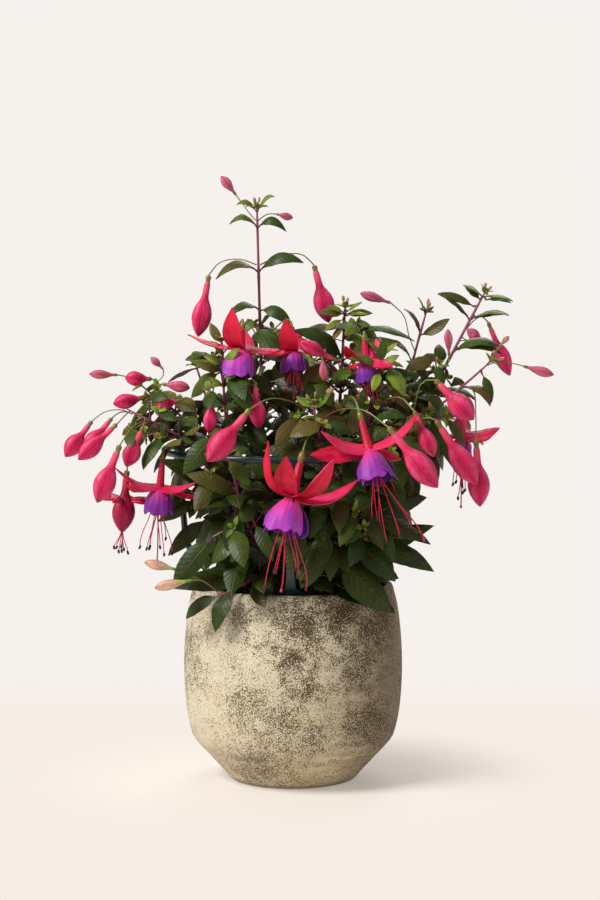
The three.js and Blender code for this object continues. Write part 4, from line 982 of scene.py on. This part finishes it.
# Leaves that stand out in the photograph, beside those of the solids: the base and the tip, as places in the
# picture and how near, half the width, the rise, how far they face up, and how young they are, or None if old
frontLeaves = {
    "stem_front_left": [
        ((213, 537, 84), (172, 586, 92), 9.5, 5, 0, None),
        ((236, 508, 92), (231, 560, 102), 9, 5, 0, None),
        ((246, 549, 86), (233, 585, 96), 7, 4, 0, None),
    ],
    "stem_mid_left": [
        ((216, 434, 84), (182, 474, 94), 8.5, 5, 0, None),
        ((224, 364, 68), (239, 347, 74), 4, 4, 0.2, 0.7),
        ((224, 380, 66), (240, 370, 74), 4, 4, 0.4, 0.5),
        ((222, 366, 64), (203, 355, 66), 3.5, 5, 0.5, 0.8),
        ((222, 346, 54), (204, 342, 60), 2.5, 4, 0.6, 0.9),
        ((223, 356, 58), (214, 346, 64), 2.2, 3, 0.5, 1.0),
        ((223, 384, 58), (204, 388, 64), 2.8, 4, 0.6, 0.8),
        ((224, 388, 60), (209, 377, 66), 2.4, 3, 0.5, 0.9),
    ],
    "stem_left_outer": [
        ((217, 528, 56), (205, 570, 66), 7.5, 4, 0, None),
        ((207, 518, 50), (167, 556, 56), 7, 6, 0, None),
        ((200, 500, 46), (156, 522, 44), 6, 7, 0, None),
    ],
    "stem_front_right": [
        ((331, 526, 100), (304, 588, 110), 10, 6, 0, None),
        ((354, 541, 92), (399, 580, 98), 10.5, 5, 0, None),
        ((336, 561, 96), (394, 612, 106), 14, 7, 0, None),
    ],
    "stem_front_centre": [
        ((303, 524, 108), (288, 573, 120), 8, 5, 0, None),
    ],
    "stem_centre": [
        ((350, 332, 28), (416, 339, 34), 6.5, 17, 1.0, None),
        ((342, 330, 28), (296, 334, 40), 6, 13, 1.0, None),
        ((343, 320, 32), (324, 331, 44), 3.0, 5, 0.6, 0.8),
        ((344, 324, 32), (331, 341, 42), 3.0, 4, 0.5, 0.6),
        ((347, 316, 30), (369, 314, 38), 2.6, 5, 0.7, 0.8),
        ((344, 313, 30), (327, 305, 38), 2.5, 3, 0.6, 0.9),
        ((347, 312, 30), (362, 301, 34), 2.4, 3, 0.6, 0.9),
    ],
    "stem_right_outer": [
        ((474, 307, 17), (439, 291, 24), 4.2, 5, 0.8, None),
        ((480, 300, 17), (465, 284, 12), 4, 3, 0.8, None),
        ((486, 300, 17), (512, 301, 24), 4, 6, 0.8, None),
        ((475, 318, 19), (508, 311, 26), 4.5, 5, 0.8, None),
        ((458, 350, 24), (504, 353, 30), 5, 15, 1.0, None),
    ],
    "stem_right_low": [
        ((482, 374, 54), (492, 404, 60), 4.2, 9, 0.6, None),
    ],
    "stem_mid_right": [
        ((379, 368, 68), (348, 357, 76), 4.5, 9, 0.6, 0.4),
        ((380, 364, 68), (385, 337, 72), 4, 4, 0.2, None),
        ((382, 368, 68), (399, 354, 74), 4, 5, 0.5, 0.8),
        ((380, 372, 70), (372, 392, 80), 4, 5, 0.3, 0.7),
        ((381, 356, 54), (369, 341, 62), 2.6, 3, 0.5, 0.9),
        ((383, 356, 54), (398, 342, 60), 2.6, 4, 0.6, 0.9),
        ((383, 362, 56), (404, 366, 66), 2.8, 5, 0.6, 0.8),
    ],
    "stem_leader": [
        ((263, 336, 8), (282, 328, 16), 2.6, 3, 0.6, 0.7),
        ((263, 342, 8), (280, 345, 18), 2.8, 4, 0.6, 0.5),
    ],
}


def growFrontLeaves(skin, name, line, room):
    for base, tip, half, rise, lift, youth in frontLeaves.get(name, []):
        light = Vector((0, -1, 0.5)) + up * lift
        leaf = arched(spot(*base), spot(*tip), light, rise * mm, half * mm)
        foot = Vector(leaf["controls"][0])
        root = nearestOn(line, foot)[1]
        stalk = [root, root.lerp(foot, 0.5) + up * 2 * mm, foot]
        sweep(skin, smoothLine(stalk, 6), [0.9 * mm] * 7, 5, 2, 0.0, 0.0, 0.4)
        room.take(bladeSamples(leaf["controls"], leaf["side"], leaf["half"]))
        oldAge = 0.3 * (dice.random() - 0.6)
        growLeaf(skin, leaf, stalk, oldAge if youth is None else youth)


def placeForm(form, start, end, girth):  # a turned form between two points
    axis = end - start
    across, over = crossDirections(axis.normalized())
    spread = np.outer(form.points[:, 0], across) + np.outer(form.points[:, 1], over)
    return np.array(start) + spread * girth / 2 + np.outer(form.points[:, 2], axis)


# Buds of the solids, by the corners of their rings: how many rings lead from the tip to the ovary, and the
# share of that way where the first one lies
budRings = {4: {"rings": 5, "first": 0.32}, 5: {"rings": 7, "first": 0.13}}
budLook = {"slack": 0.035, "leastRadius": 1.8, "leastLength": 8, "ripe": 12.5, "fading": 5, "newest": 0.35,
           "knuckle": 16, "tiny": 6, "pedicel": {True: 0.55, False: 0.48}}


def readBud(tip, rings, rest):
    # A bud and its pedicel, from the rings of its solid between its tip and its stem
    kind = budRings[len(rings[0])]
    if len(rings) < kind["rings"]:
        return None
    centres = [middleOf(ring) for ring in rings]
    ovary = centres[kind["rings"] - 1]
    length = (tip - ovary).length
    firstRing = (tip - centres[0]).length / max(length, mm)
    if abs(firstRing - kind["first"]) > budLook["slack"]:
        return None
    widest = max((ring[0] - centre).length for ring, centre in zip(rings[:kind["rings"]], centres))
    if widest < budLook["leastRadius"] * mm or length < budLook["leastLength"] * mm:
        return None
    pedicel = centres[kind["rings"]:]
    if rest and len(rest) <= budLook["knuckle"]:  # the knuckle that seats it, and not a whole stem
        pedicel.append(middleOf(rest))
    return {"tip": tip, "ovary": ovary, "girth": 2 * widest, "pedicel": pedicel, "large": len(rings[0]) == 5}


def budsOf(name):  # every bud that a node's solid has
    ends = [end for sides in budRings for end in pointedEnds(name, sides)]
    return [bud for bud in (readBud(*end) for end in ends) if bud]


def growBud(skin, bud, slots, root=None):
    # Slots are those of the skin, the ovary and the pedicel
    slender = (bud["tip"] - bud["ovary"]).length > 2 * bud["girth"]
    form = forms["largeBud"] if bud["large"] and slender else forms["smallBud"]
    tint = 0.0  # a ripe bud's; a smaller one is duller
    ripe = budLook["ripe"] * mm
    if bud["girth"] <= ripe:
        tint = min(1.0, (ripe - bud["girth"]) / (budLook["fading"] * mm) + budLook["newest"])
    points = placeForm(form, bud["ovary"], bud["tip"], bud["girth"])
    skin.add(points, form.faces, [slots[slot] for slot in form.slots], form.map, tint)
    ends = list(bud["pedicel"])
    if root is not None:
        ends.append(root)
    if len(ends) < 2:
        return
    line = smoothLine([end.copy() for end in reversed(ends)] + [bud["ovary"]], 9)
    radius = budLook["pedicel"][bud["large"]] * mm
    sweep(skin, line, [radius * 1.3] + [radius] * 7 + [radius * 1.1, radius * 1.25], 6, slots[2])


# A stem's slots are places in this list, and so are those of a spray, a calyx and a corolla in theirs
stemFinishes = ["leafTop", "leafUnder", "petiole", "bud", "bark", "ovary", "pedicel", "tinyBud", "youngOvary"]


def makeStem(name, plan, room):
    skin = Skin()
    line = stemLine(plan)
    found = [readLeaf(tip, rings) for tip, rings, rest in pointedEnds(name, 3)]
    leaves = [leaf for leaf in found if leaf]
    for leaf in leaves:
        share = nearestOn(line, Vector(leaf["controls"][0]))[2]
        leaf["share"] = share
        upper = min(1, max(0, (share - leafLook["levelFrom"]) / leafLook["levelOver"]))
        leaf["side"] = facingUp(leaf, leafLook["level"] * upper)
        leaf["side"] = towardsLight(leaf)
        room.take(bladeSamples(leaf["controls"], leaf["side"], leaf["half"]))
        small = max(0.0, 1 - leaf["half"] / (leafLook["small"] * mm))
        lift = np.array(up) * leafLook["lift"].get(name, 0) * mm * share
        leaf["controls"][1] = leaf["controls"][1] + lift
        shade = leafLook["shades"] * (dice.random() - 0.7) * (1 - small)
        leaf["half"] *= leafLook["slim"].get(name, 1)
        growLeaf(skin, leaf, line, min(1.0, small * 1.3 + 0.25 * max(0, share - 0.6) + shade))
    for bud in budsOf(name):
        slots = (7, 8, 6) if bud["girth"] < budLook["tiny"] * mm else (3, 5, 6)
        foot = bud["pedicel"][-1] if bud["pedicel"] else bud["ovary"]
        growBud(skin, bud, slots, nearestOn(line, foot)[1])
    growFrontLeaves(skin, name, line, room)
    growShoots(skin, line, room, shootEnd.get(name, 0.95))
    if name not in bareTips:
        growCrown(skin, line[-1], (line[-1] - line[-2]).normalized(), 1.0, 2)
    radii = []  # the stem thins to its tip and swells a little where a leaf grows
    for i in range(len(line)):
        share = i / (len(line) - 1)
        near = min([abs(share - leaf["share"]) for leaf in leaves] or [1])
        swell = 1 + stemShape["nodeSwell"] * math.exp(-((near / stemShape["nodeReach"]) ** 2))
        radii.append(plan["radius"] * mm * (1 - stemShape["thinning"] * share) * swell)
    radii[-1] *= stemShape["end"]
    sweep(skin, line, radii, stemShape["sides"], 4)
    piece = skin.build(name, stemFinishes)
    settle(piece, "foliage", name)
    return len(leaves), skin.count


# Sprays of buds whose skin and ovary differ from the others'
sprayFinishes = {"buds_trailing": ["paleBud", "youngOvary"], "buds_half_open": ["darkBud", "ovary"]}


def makeSpray(name):
    skin = Skin()
    for bud in budsOf(name):
        growBud(skin, bud, (0, 1, 2))
        if name == "buds_half_open":
            openBud(skin, bud)
    skinAndOvary = sprayFinishes.get(name, ["bud", "ovary"])
    piece = skin.build(name, skinAndOvary + ["pedicel", "sepalOut", "sepalIn", "filament", "anther"])
    settle(piece, "bud", name)


# The opening bud: its sepals have begun to spread and its stamens hang out
openingShape = {"shoulder": 0.45, "start": 0.22, "reach": 1.05, "half": 5.2, "thickness": 0.8, "fold": 0.3,
                "twist": 0.6, "stamens": 7}


def openBud(skin, bud):
    axis = (bud["tip"] - bud["ovary"]).normalized()
    shoulder = bud["ovary"].lerp(bud["tip"], openingShape["shoulder"])
    for index in range(4):
        out = sideways(axis, math.pi / 2 * index + 0.3)
        base = shoulder + out * bud["girth"] * openingShape["start"]
        reach = bud["girth"] * openingShape["reach"]
        controls = [base, base + out * reach * 0.4 - axis * reach * 0.1,
                    base + out * reach * 0.8 - axis * reach * 0.1, base + out * reach + axis * reach * 0.15]
        twist = openingShape["twist"]
        side = turned(axis.cross(out), out, twist if out.x > 0 else -twist)
        points = bentBlade(forms["sepal"], controls, side, openingShape["half"] * mm,
                           openingShape["thickness"] * mm, fold=openingShape["fold"])
        skin.copy(forms["sepal"], points, 3)
    for index in range(openingShape["stamens"]):
        out = sideways(axis, 2 * math.pi * index / openingShape["stamens"])
        start = bud["tip"] - axis * 4 * mm + out * 0.6 * mm
        end = bud["tip"] + axis * (8 + 9 * dice.random()) * mm + out * (2 + 5 * dice.random()) * mm
        growStamen(skin, start, end, axis)


# Open blooms: the stem it hangs from, where its ovary and its throat are, the skirt's depth and hem in
# millimetres, its age, how far its level sepals twist, and how much of a ball the skirt is, or else a bell
bloomRows = {
    "bloom_upper_left": ("stem_mid_left", (243, 322, 57), (241, 348, 60), 24, 12.5, 0.85, 0.4, 1),
    "bloom_upper_middle": ("stem_leader", (292, 326, 38), (293, 351, 42), 19, 10.5, 0.2, 0.3, 1),
    "bloom_upper_right": ("stem_mid_right", (364, 334, 60), (366, 362, 64), 18, 8, 0.0, 0.8, 1),
    "bloom_centre": ("stem_front_centre", (303, 451, 118), (292, 497, 128), 30, 15.5, 1.0, 0.8, 0),
    "bloom_right": ("stem_centre", (359, 411, 100), (369, 449, 112), 29, 13, 0.5, 2.0, 0),
    "bloom_left": ("stem_left_outer", (163, 452, 62), (160, 488, 64), 22, 12.5, 0.35, 0.8, 0.6),
    "bloom_far_right": ("stem_right_low", (463, 402, 34), (462, 436, 30), 17, 9, 0.4, 0.8, 0),
    "bloom_back": ("stem_back_centre", (318, 432, -138), (321, 466, -146), 27, 15, 0.6, 0.8, 0),
}
bloomTerms = ("stem", "ovary", "throat", "depth", "hem", "age", "twist", "dome")
bloomPlans = {name: dict(zip(bloomTerms, row)) for name, row in bloomRows.items()}
calyxFinishes = ["sepalOut", "sepalIn", "bud", "ovary", "pedicel", "filament", "anther", "stigma"]
calyxShape = {
    "fullLength": 40, "leastSwell": 0.75,
    "tube": [(0.0, 1.0), (0.02, 1.9), (0.08, 2.9), (0.15, 3.2), (0.21, 2.9), (0.26, 2.3), (0.29, 2.9),
             (0.38, 3.4), (0.6, 3.8), (0.8, 4.2), (0.94, 4.7), (1.0, 4.9)],
    "ovaryEnd": 0.26, "fold": 0.24, "thickness": 0.9, "sepalHalf": 4, "stamenHalf": 1.6, "firstRing": 0.98,
}
stamenShape = {"count": 8, "filament": 0.42, "anther": 3.8, "antherGirth": 2.2, "pistil": 0.55, "stigma": 2.4,
               "seat": 1.5, "ring": 1.8}


def bloomFrame(plan):
    top, mouth = spot(*plan["ovary"]), spot(*plan["throat"])
    axis = (mouth - top).normalized()
    swell = max((mouth - top).length / (calyxShape["fullLength"] * mm), calyxShape["leastSwell"])
    return top, mouth, axis, swell


def makeCalyx(name, plan):
    skin = Skin()
    top, mouth, axis, swell = bloomFrame(plan)
    tips = []
    stamenTips = []
    # The solid's broad ends are its sepals, and its slender ones the stamens and the pistil
    for tip, rings, rest in pointedEnds(name + "_calyx", 3):
        half = bladeRing(rings[0])[1]
        if half > calyxShape["sepalHalf"] * mm:
            tips.append((tip, half / calyxShape["firstRing"]))
        elif half < calyxShape["stamenHalf"] * mm:
            stamenTips.append(tip)
    for tip, half in tips:
        growSepal(skin, mouth, axis, swell, tip, half, plan["twist"])
    growTube(skin, top, mouth, swell)
    growStamens(skin, mouth, axis, stamenTips)
    # The pedicel arches from its stem to the ovary
    start = pedicelStart(name, stemLine(stemPlans[plan["stem"]]))
    span = (top - start).length
    outwards = Vector((top.x - start.x, top.y - start.y, 0)).normalized()
    controls = [start, start + outwards * 0.25 * span + up * 0.2 * span, top - axis * 0.35 * span, top]
    stalk = bezier(controls, np.linspace(0, 1, 12))[0]
    sweep(skin, stalk, [0.85 * mm] + [0.62 * mm] * 9 + [0.75 * mm, 1.1 * mm], 7, 4)
    piece = skin.build(name + "_calyx", calyxFinishes)
    settle(piece, "sepal", name + "_calyx")


def pedicelStart(name, line):
    # On the stem, beside the end of the calyx's solid that lies nearest to it
    corners = cadNodes[name + "_calyx"].data.vertices
    nearest = min((nearestOn(line, vert.co)[0], tuple(vert.co)) for vert in corners)
    return nearestOn(line, Vector(nearest[1]))[1]


def growSepal(skin, mouth, axis, swell, tip, half, mostTwist):
    out = tip - mouth
    out = (out - axis * out.dot(axis)).normalized()
    base = mouth - axis * 2 * swell * mm + out * 2.6 * swell * mm
    reach = (tip - base).length
    controls = [base, base + out * 0.42 * reach + axis * 0.04 * reach,
                tip.lerp(base, 0.36) + out * 0.16 * reach, tip]
    # Level sepals twist a little, so that their upper face turns to the front
    side = axis.cross(out)
    twist = min(1.2, mostTwist * (1 - abs((tip - base).normalized().z)) * abs(out.x))
    if (out.cross(-axis)).y > 0:
        twist = -twist
    points = bentBlade(forms["sepal"], controls, turned(side, out, twist), half, calyxShape["thickness"] * mm,
                       fold=calyxShape["fold"], wave=0.03, phase=6 * dice.random(), curl=0.3)
    skin.copy(forms["sepal"], points, 0, dice.random())


def growTube(skin, top, mouth, swell):
    for first, last, slot in ((0.0, calyxShape["ovaryEnd"], 3), (calyxShape["ovaryEnd"], 1.0, 0)):
        part = [(share, radius) for share, radius in calyxShape["tube"] if first <= share <= last]
        centres = [top.lerp(mouth, share) for share, radius in part]
        sweep(skin, centres, [radius * swell * mm for share, radius in part], 14, slot, 0.3, 0.15, 0.3)


def growStamens(skin, mouth, axis, tips):
    lowest = max(tips, key=lambda tip: (tip - mouth).dot(axis))
    middle = middleOf(tips)
    ends = [tip for tip in tips if tip != lowest]
    while len(ends) < stamenShape["count"]:
        first, second = dice.sample(tips, 2)
        ends.append(first.lerp(second, 0.5).lerp(mouth, 0.06 + 0.16 * dice.random())
                    + (first - middle) * (0.3 * dice.random()))
    for index, end in enumerate(ends):
        out = sideways(axis, 2 * math.pi * index / len(ends))
        start = mouth - axis * stamenShape["seat"] * mm + out * stamenShape["ring"] * mm
        growStamen(skin, start, end, axis)
    reach = (lowest - mouth).length
    controls = [mouth, mouth + axis * 0.5 * reach, lowest - axis * 0.25 * reach, lowest]
    style = bezier(controls, np.linspace(0, 1, 12))[0]
    sweep(skin, style, [stamenShape["pistil"] * mm] * 12, 6, 5)
    girth = stamenShape["stigma"] * mm
    heading = (lowest - Vector(style[-2])).normalized()
    points = placeForm(forms["anther"], lowest - heading * girth * 0.6, lowest + heading * girth * 0.5, girth)
    skin.copy(forms["anther"], points, 7)


def levelDrift():
    return Vector((dice.random() - 0.5, dice.random() - 0.5, 0))


def growStamen(skin, start, end, axis):
    reach = (end - start).length
    drift = levelDrift() * reach * 0.1
    controls = [start, start + axis * 0.5 * reach + drift, end - axis * 0.25 * reach + drift, end]
    line = bezier(controls, np.linspace(0, 1, 10))[0]
    sweep(skin, line, [stamenShape["filament"] * mm] * 10, 5, 5)
    length, girth = stamenShape["anther"] * mm, stamenShape["antherGirth"] * mm
    heading = (Vector(line[-1]) - Vector(line[-2])).normalized() + levelDrift()
    heading.normalize()
    points = placeForm(forms["anther"], end - heading * length * 0.4, end + heading * length * 0.6, girth)
    skin.copy(forms["anther"], points, 6)


petalShape = {"petals": 4, "half": 64, "topRadius": 4.0, "thickness": 0.55, "spiral": 0.14, "gap": 0.2,
              "levels": (0, 0.15, 0.4, 0.7, 0.9, 1), "flare": (0, 0.32, 0.7, 0.94, 0.98, 0.94),
              "dome": (0, 0.6, 0.93, 1.04, 1.0, 0.88)}


def makeCorolla(name, plan):
    # Broad petals wrap into a bell, each with one edge under the next, and wave at the hem
    skin = Skin()
    mouth, axis = bloomFrame(plan)[1:3]
    across, over = crossDirections(axis)
    depth, hem, dome = plan["depth"], plan["hem"], plan["dome"]
    bell = np.array(petalShape["flare"]) * (1 - dome) + np.array(petalShape["dome"]) * dome
    form = forms["petal"]
    sideShare, along, layer = form.points.T
    firstTurn = 360 * dice.random()
    for petal in range(petalShape["petals"]):
        turn = math.radians(firstTurn + 90 * petal) + np.radians(petalShape["half"]) * sideShare
        spread = 0.88 + 0.3 * dice.random()
        atHem = 1 + (spread - 1) * np.clip(along * 10 - 9, 0, 1)
        flare = np.interp(along, petalShape["levels"], bell) * atHem
        opening = hem * (1 + (spread - 1) * along) - petalShape["topRadius"]
        radius = petalShape["topRadius"] + opening * flare
        radius *= 1 + petalShape["spiral"] * sideShare * (0.4 + 0.6 * along)
        phase = 6.28 * dice.random()
        ruffle = 1.2 * np.sin(sideShare * 6 + phase) + 0.35 * np.sin(sideShare * 14 + phase)
        radius = radius + ruffle * along ** 2 * hem / 16 + 0.12 * np.sin(sideShare * 19) * along
        radius = radius + layer * petalShape["thickness"]
        scallop = 1.0 - 0.17 * sideShare ** 2 + 0.045 * np.sin(sideShare * 9 + phase)
        drop = petalShape["gap"] + along * depth * scallop * (0.94 + 0.1 * dice.random())
        out = np.outer(np.cos(turn), across) + np.outer(np.sin(turn), over)
        points = np.array(mouth) + np.outer(drop * mm, axis) + out * (radius * mm)[:, None]
        skin.copy(form, points, 0, plan["age"])
    piece = skin.build(name + "_corolla", ["petal", "petalIn"], 60)
    settle(piece, "petal", name + "_corolla")


# Pot: the same outline as its solid, with rounded edges and a smooth belly
potShape = {
    "sides": 128,
    "foot": [(0.5, 0.6), (49, 0.6), (50, 0.0), (53.2, 0.0), (54.6, 0.5), (56, 1.8)],
    "wall": [(56, 1.8), (70, 17.6), (84.5, 33.5), (88.6, 41), (93, 62), (95, 92), (94.2, 122), (91.4, 148),
             (87.2, 166.4)],
    "rim": [(86.2, 168.9), (84.8, 170.1), (83.2, 170.4), (81.6, 169.9), (80.6, 168.8), (80.3, 167.4),
            (81.8, 160)],
    "inside": [(87.6, 122), (87, 62), (79, 38), (52, 10.4), (0.5, 10.2)],
}


def smoothOutline(outline, steps):
    points = [Vector((radius, 0, height)) for radius, height in outline]
    return [(point.x, point.z) for point in smoothLine(points, steps)]


def makePot():
    wall = smoothOutline(potShape["wall"], 40)[1:]
    outline = potShape["foot"] + wall + potShape["rim"] + potShape["inside"]
    pot = turnedForm([(radius * mm, height * mm) for radius, height in outline], potShape["sides"])
    pot.name = "glazed_pot"
    pot.data.materials.append(finishes["glaze"])
    smooth(pot, 50)
    settle(pot, "pot_glaze", "pot")


# Soil: a crumbly mound, whose outline below its top follows the pot's inside
soilShape = {
    "sides": 96, "edge": 81, "edgeHeight": 156.4, "middle": 161.5, "rings": 26, "roughness": 1.5,
    "crumbs": 620, "crumbSize": (0.7, 1.9), "crumble": 150,
    "below": [(0.5, 10.6), (51, 10.6), (78.4, 38.2), (86.4, 62.2), (87, 121.8)],
}


def soilHeight(radius):
    rise = math.cos(math.pi / 2 * radius / soilShape["edge"]) ** 1.4
    return soilShape["edgeHeight"] + (soilShape["middle"] - soilShape["edgeHeight"]) * rise


def makeSoil():
    outline = list(soilShape["below"])
    for step in range(soilShape["rings"] + 1):
        radius = soilShape["edge"] * (1 - step / soilShape["rings"])
        outline.append((max(radius, 0.4), soilHeight(radius)))
    mound = turnedForm([(radius * mm, height * mm) for radius, height in outline], soilShape["sides"])
    for vert in mound.data.vertices:
        if vert.co.z > soilShape["crumble"] * mm:
            coarse, fine = noise.noise(vert.co * 90), noise.noise(vert.co * 260)
            rough = coarse + 0.7 * fine + 0.4 * noise.noise(vert.co * 700)
            vert.co.z += rough * soilShape["roughness"] * mm
    skin = Skin()
    form = plainForm(mound)
    skin.copy(form, form.points)
    selectOnly()
    bpy.ops.mesh.primitive_ico_sphere_add(subdivisions=1, radius=1)
    crumb = plainForm(bpy.context.object)
    least, more = soilShape["crumbSize"]
    for index in range(soilShape["crumbs"]):
        radius = (soilShape["edge"] - 3) * math.sqrt(dice.random())
        turn = 2 * math.pi * dice.random()
        size = least + more * dice.random() ** 2.5
        stretch = np.array([0.8 + 0.5 * dice.random() for k in range(3)]) * size
        roll = 6.28 * dice.random()
        angle = Matrix.Rotation(roll, 3, Vector((dice.random(), dice.random(), 0.1)).normalized())
        shift = Vector((index, 0, 0))
        bumps = 1 + 0.35 * np.array([noise.noise(Vector(point) * 1.3 + shift) for point in crumb.points])
        points = (crumb.points * stretch * bumps[:, None]) @ np.array(angle).T
        centre = np.array([radius * math.cos(turn), radius * math.sin(turn), soilHeight(radius) + size * 0.3])
        skin.copy(crumb, (points + centre) * mm)
    piece = skin.build("soil", ["peat"], 60)
    settle(piece, "soil", "potting_soil")


# Support: the hoop with its three sockets, and the legs
hoopShape = {"radius": 110, "height": 286, "thick": 4.2, "deep": 5.6, "centreX": -2, "legs": (-90, 30, 154)}
socketShape = {"wide": 10, "deep": 7, "high": 13, "top": 285.2, "bevel": 1.1}


def makeHoop():
    selectOnly()
    centreX, radius = hoopShape["centreX"] * mm, hoopShape["radius"] * mm
    bpy.ops.mesh.primitive_torus_add(location=(0, 0, 0), major_radius=radius, major_segments=144,
                                     minor_radius=hoopShape["thick"] / 2 * mm, minor_segments=14)
    hoop = bpy.context.object
    hoop.scale = (1, 1, hoopShape["deep"] / hoopShape["thick"])
    hoop.location = (centreX, 0, hoopShape["height"] * mm)
    applyPlace()
    parts = [hoop]
    for degrees in hoopShape["legs"]:
        turn = math.radians(degrees)
        selectOnly()
        bpy.ops.mesh.primitive_cube_add(size=1)
        block = bpy.context.object
        block.scale = (socketShape["deep"] * mm, socketShape["wide"] * mm, socketShape["high"] * mm)
        block.rotation_euler = (0, 0, turn)
        block.location = (centreX + radius * math.cos(turn), radius * math.sin(turn),
                          (socketShape["top"] - socketShape["high"] / 2) * mm)
        applyPlace()
        bevel(block, socketShape["bevel"], 3)
        parts.append(block)
    selectOnly(*parts)
    bpy.ops.object.join()
    hoop.name = "ring_support"
    hoop.data.materials.append(finishes["hoop"])
    smooth(hoop, 50)
    settle(hoop, "hoop_plastic", "support_hoop")


def bevel(item, width, segments):
    modifier = item.modifiers.new("bevel", "BEVEL")
    modifier.width = width * mm
    modifier.segments = segments
    modifier.limit_method = "ANGLE"
    selectOnly(item)
    bpy.ops.object.modifier_apply(modifier=modifier.name)


legShape = {"weld": 0.002, "flat": 20, "square": 60, "bevel": 0.55}


def makeLeg(side):
    name = "support_leg_" + side
    leg = cadNodes[name].copy()
    leg.data = cadNodes[name].data.copy()
    leg.name = "leg_" + side
    leg.parent = None
    bpy.context.scene.collection.objects.link(leg)
    selectOnly(leg)
    bpy.ops.object.mode_set(mode="EDIT")
    bpy.ops.mesh.select_all(action="SELECT")
    bpy.ops.mesh.remove_doubles(threshold=legShape["weld"] * mm)
    bpy.ops.mesh.tris_convert_to_quads(face_threshold=math.radians(legShape["flat"]),
                                       shape_threshold=math.radians(legShape["square"]))
    bpy.ops.object.mode_set(mode="OBJECT")
    bevel(leg, legShape["bevel"], 2)
    leg.data.materials.clear()
    leg.data.materials.append(finishes["frontLeg" if side == "front" else "leg"])
    smooth(leg, 45)
    settle(leg, "leg_plastic", name)


# Floor, backdrop and light
stageLook = {"floor": "#f6ede4", "backdrop": "#f6f1ed", "lit": "#f1eae3", "wide": 12.0, "drop": 0.0005,
             "ambient": 0.33}
# Lights: where each stands and how high it looks, its size, its power and its colour
lightPlans = {
    "key light": ((-2.2, -1.5, 2.7), 0.25, 1.6, 142, (1.0, 0.985, 0.96)),
    "fill light": ((1.9, -1.4, 1.2), 0.25, 1.8, 4, (0.95, 0.97, 1.0)),
    "back light": ((0.4, 2.0, 1.8), 0.3, 1.5, 20, (1.0, 0.98, 0.96)),
}


def makeStage():
    selectOnly()
    bpy.ops.mesh.primitive_plane_add(size=stageLook["wide"], location=(0, 0, -stageLook["drop"]))
    applyPlace()
    floor = bpy.context.object
    floor.name = "floor"
    floor.data.materials.append(floorFinish())
    # The backdrop is seen at its full brightness, and lights the plant less
    world = bpy.data.worlds.new("studio")
    bpy.context.scene.world = world
    world.use_nodes = True
    nodes, links = world.node_tree.nodes, world.node_tree.links
    seen = nodes["Background"]
    seen.inputs[0].default_value = rgb(stageLook["backdrop"])
    light = nodes.new("ShaderNodeBackground")
    light.inputs[0].default_value = rgb(stageLook["backdrop"])
    light.inputs[1].default_value = stageLook["ambient"]
    blend = nodes.new("ShaderNodeMixShader")
    path = nodes.new("ShaderNodeLightPath")
    links.new(path.outputs["Is Camera Ray"], blend.inputs[0])
    links.new(light.outputs[0], blend.inputs[1])
    links.new(seen.outputs[0], blend.inputs[2])
    links.new(blend.outputs[0], nodes["World Output"].inputs[0])


def floorFinish():
    # Lit paper near the pot, which fades into the backdrop behind it
    paint = Paint("floor", 0.9, Specular_IOR_Level=0.1)
    x, y = paint.parts(3)[:2]
    away = (x * x + y * y) ** 0.5
    behind = y.between(0.2, 0.52).most(away.between(0.9, 2.0))
    paint.shader.inputs["Base Color"].default_value = rgb(stageLook["lit"])
    colour = paint.mix(behind, stageLook["floor"], stageLook["backdrop"])
    glow = paint.node("ShaderNodeEmission", None, {0: colour})
    share = away.between(0.07, 0.25, 0.32, 1.0).most(behind)
    lit = Wire(paint, paint.shader.outputs[0])
    final = paint.node("ShaderNodeMixShader", None, {0: share, 1: lit, 2: glow})
    paint.tree.links.new(final.socket, paint.tree.nodes["Material Output"].inputs[0])
    return paint.material


def makeLight(name, place, aimHeight, size, power, colour):
    data = bpy.data.lights.new(name, "AREA")
    data.shape = "DISK"
    data.size = size
    data.energy = power
    data.color = colour
    light = bpy.data.objects.new(name, data)
    light.location = place
    aim = Vector((0, 0, aimHeight)) - Vector(place)
    light.rotation_euler = aim.to_track_quat("-Z", "Y").to_euler()
    bpy.context.scene.collection.objects.link(light)


bpy.context.scene.view_settings.view_transform = "Standard"
makeCamera()
finishes = makeFinishes()
print("stage 1: finishes made")
forms = makeForms()
print("stage 2: forms shaped")
makePot()
makeSoil()
makeHoop()
for side in ("front", "right", "left"):
    makeLeg(side)
print("stage 3: pot, soil and support made")
room = Room()
for name, plan in bloomPlans.items():
    makeCalyx(name, plan)
    makeCorolla(name, plan)
for name in sorted(cadNodes):
    if name.startswith("buds_"):
        makeSpray(name)
print("stage 4: blooms and buds made")
for name, plan in stemPlans.items():
    print(name, *makeStem(name, plan, room))
print("stage 5: leafy stems made")
makeStage()
for name, plan in lightPlans.items():
    makeLight(name, *plan)
print("stage 6: floor, backdrop and lights made")
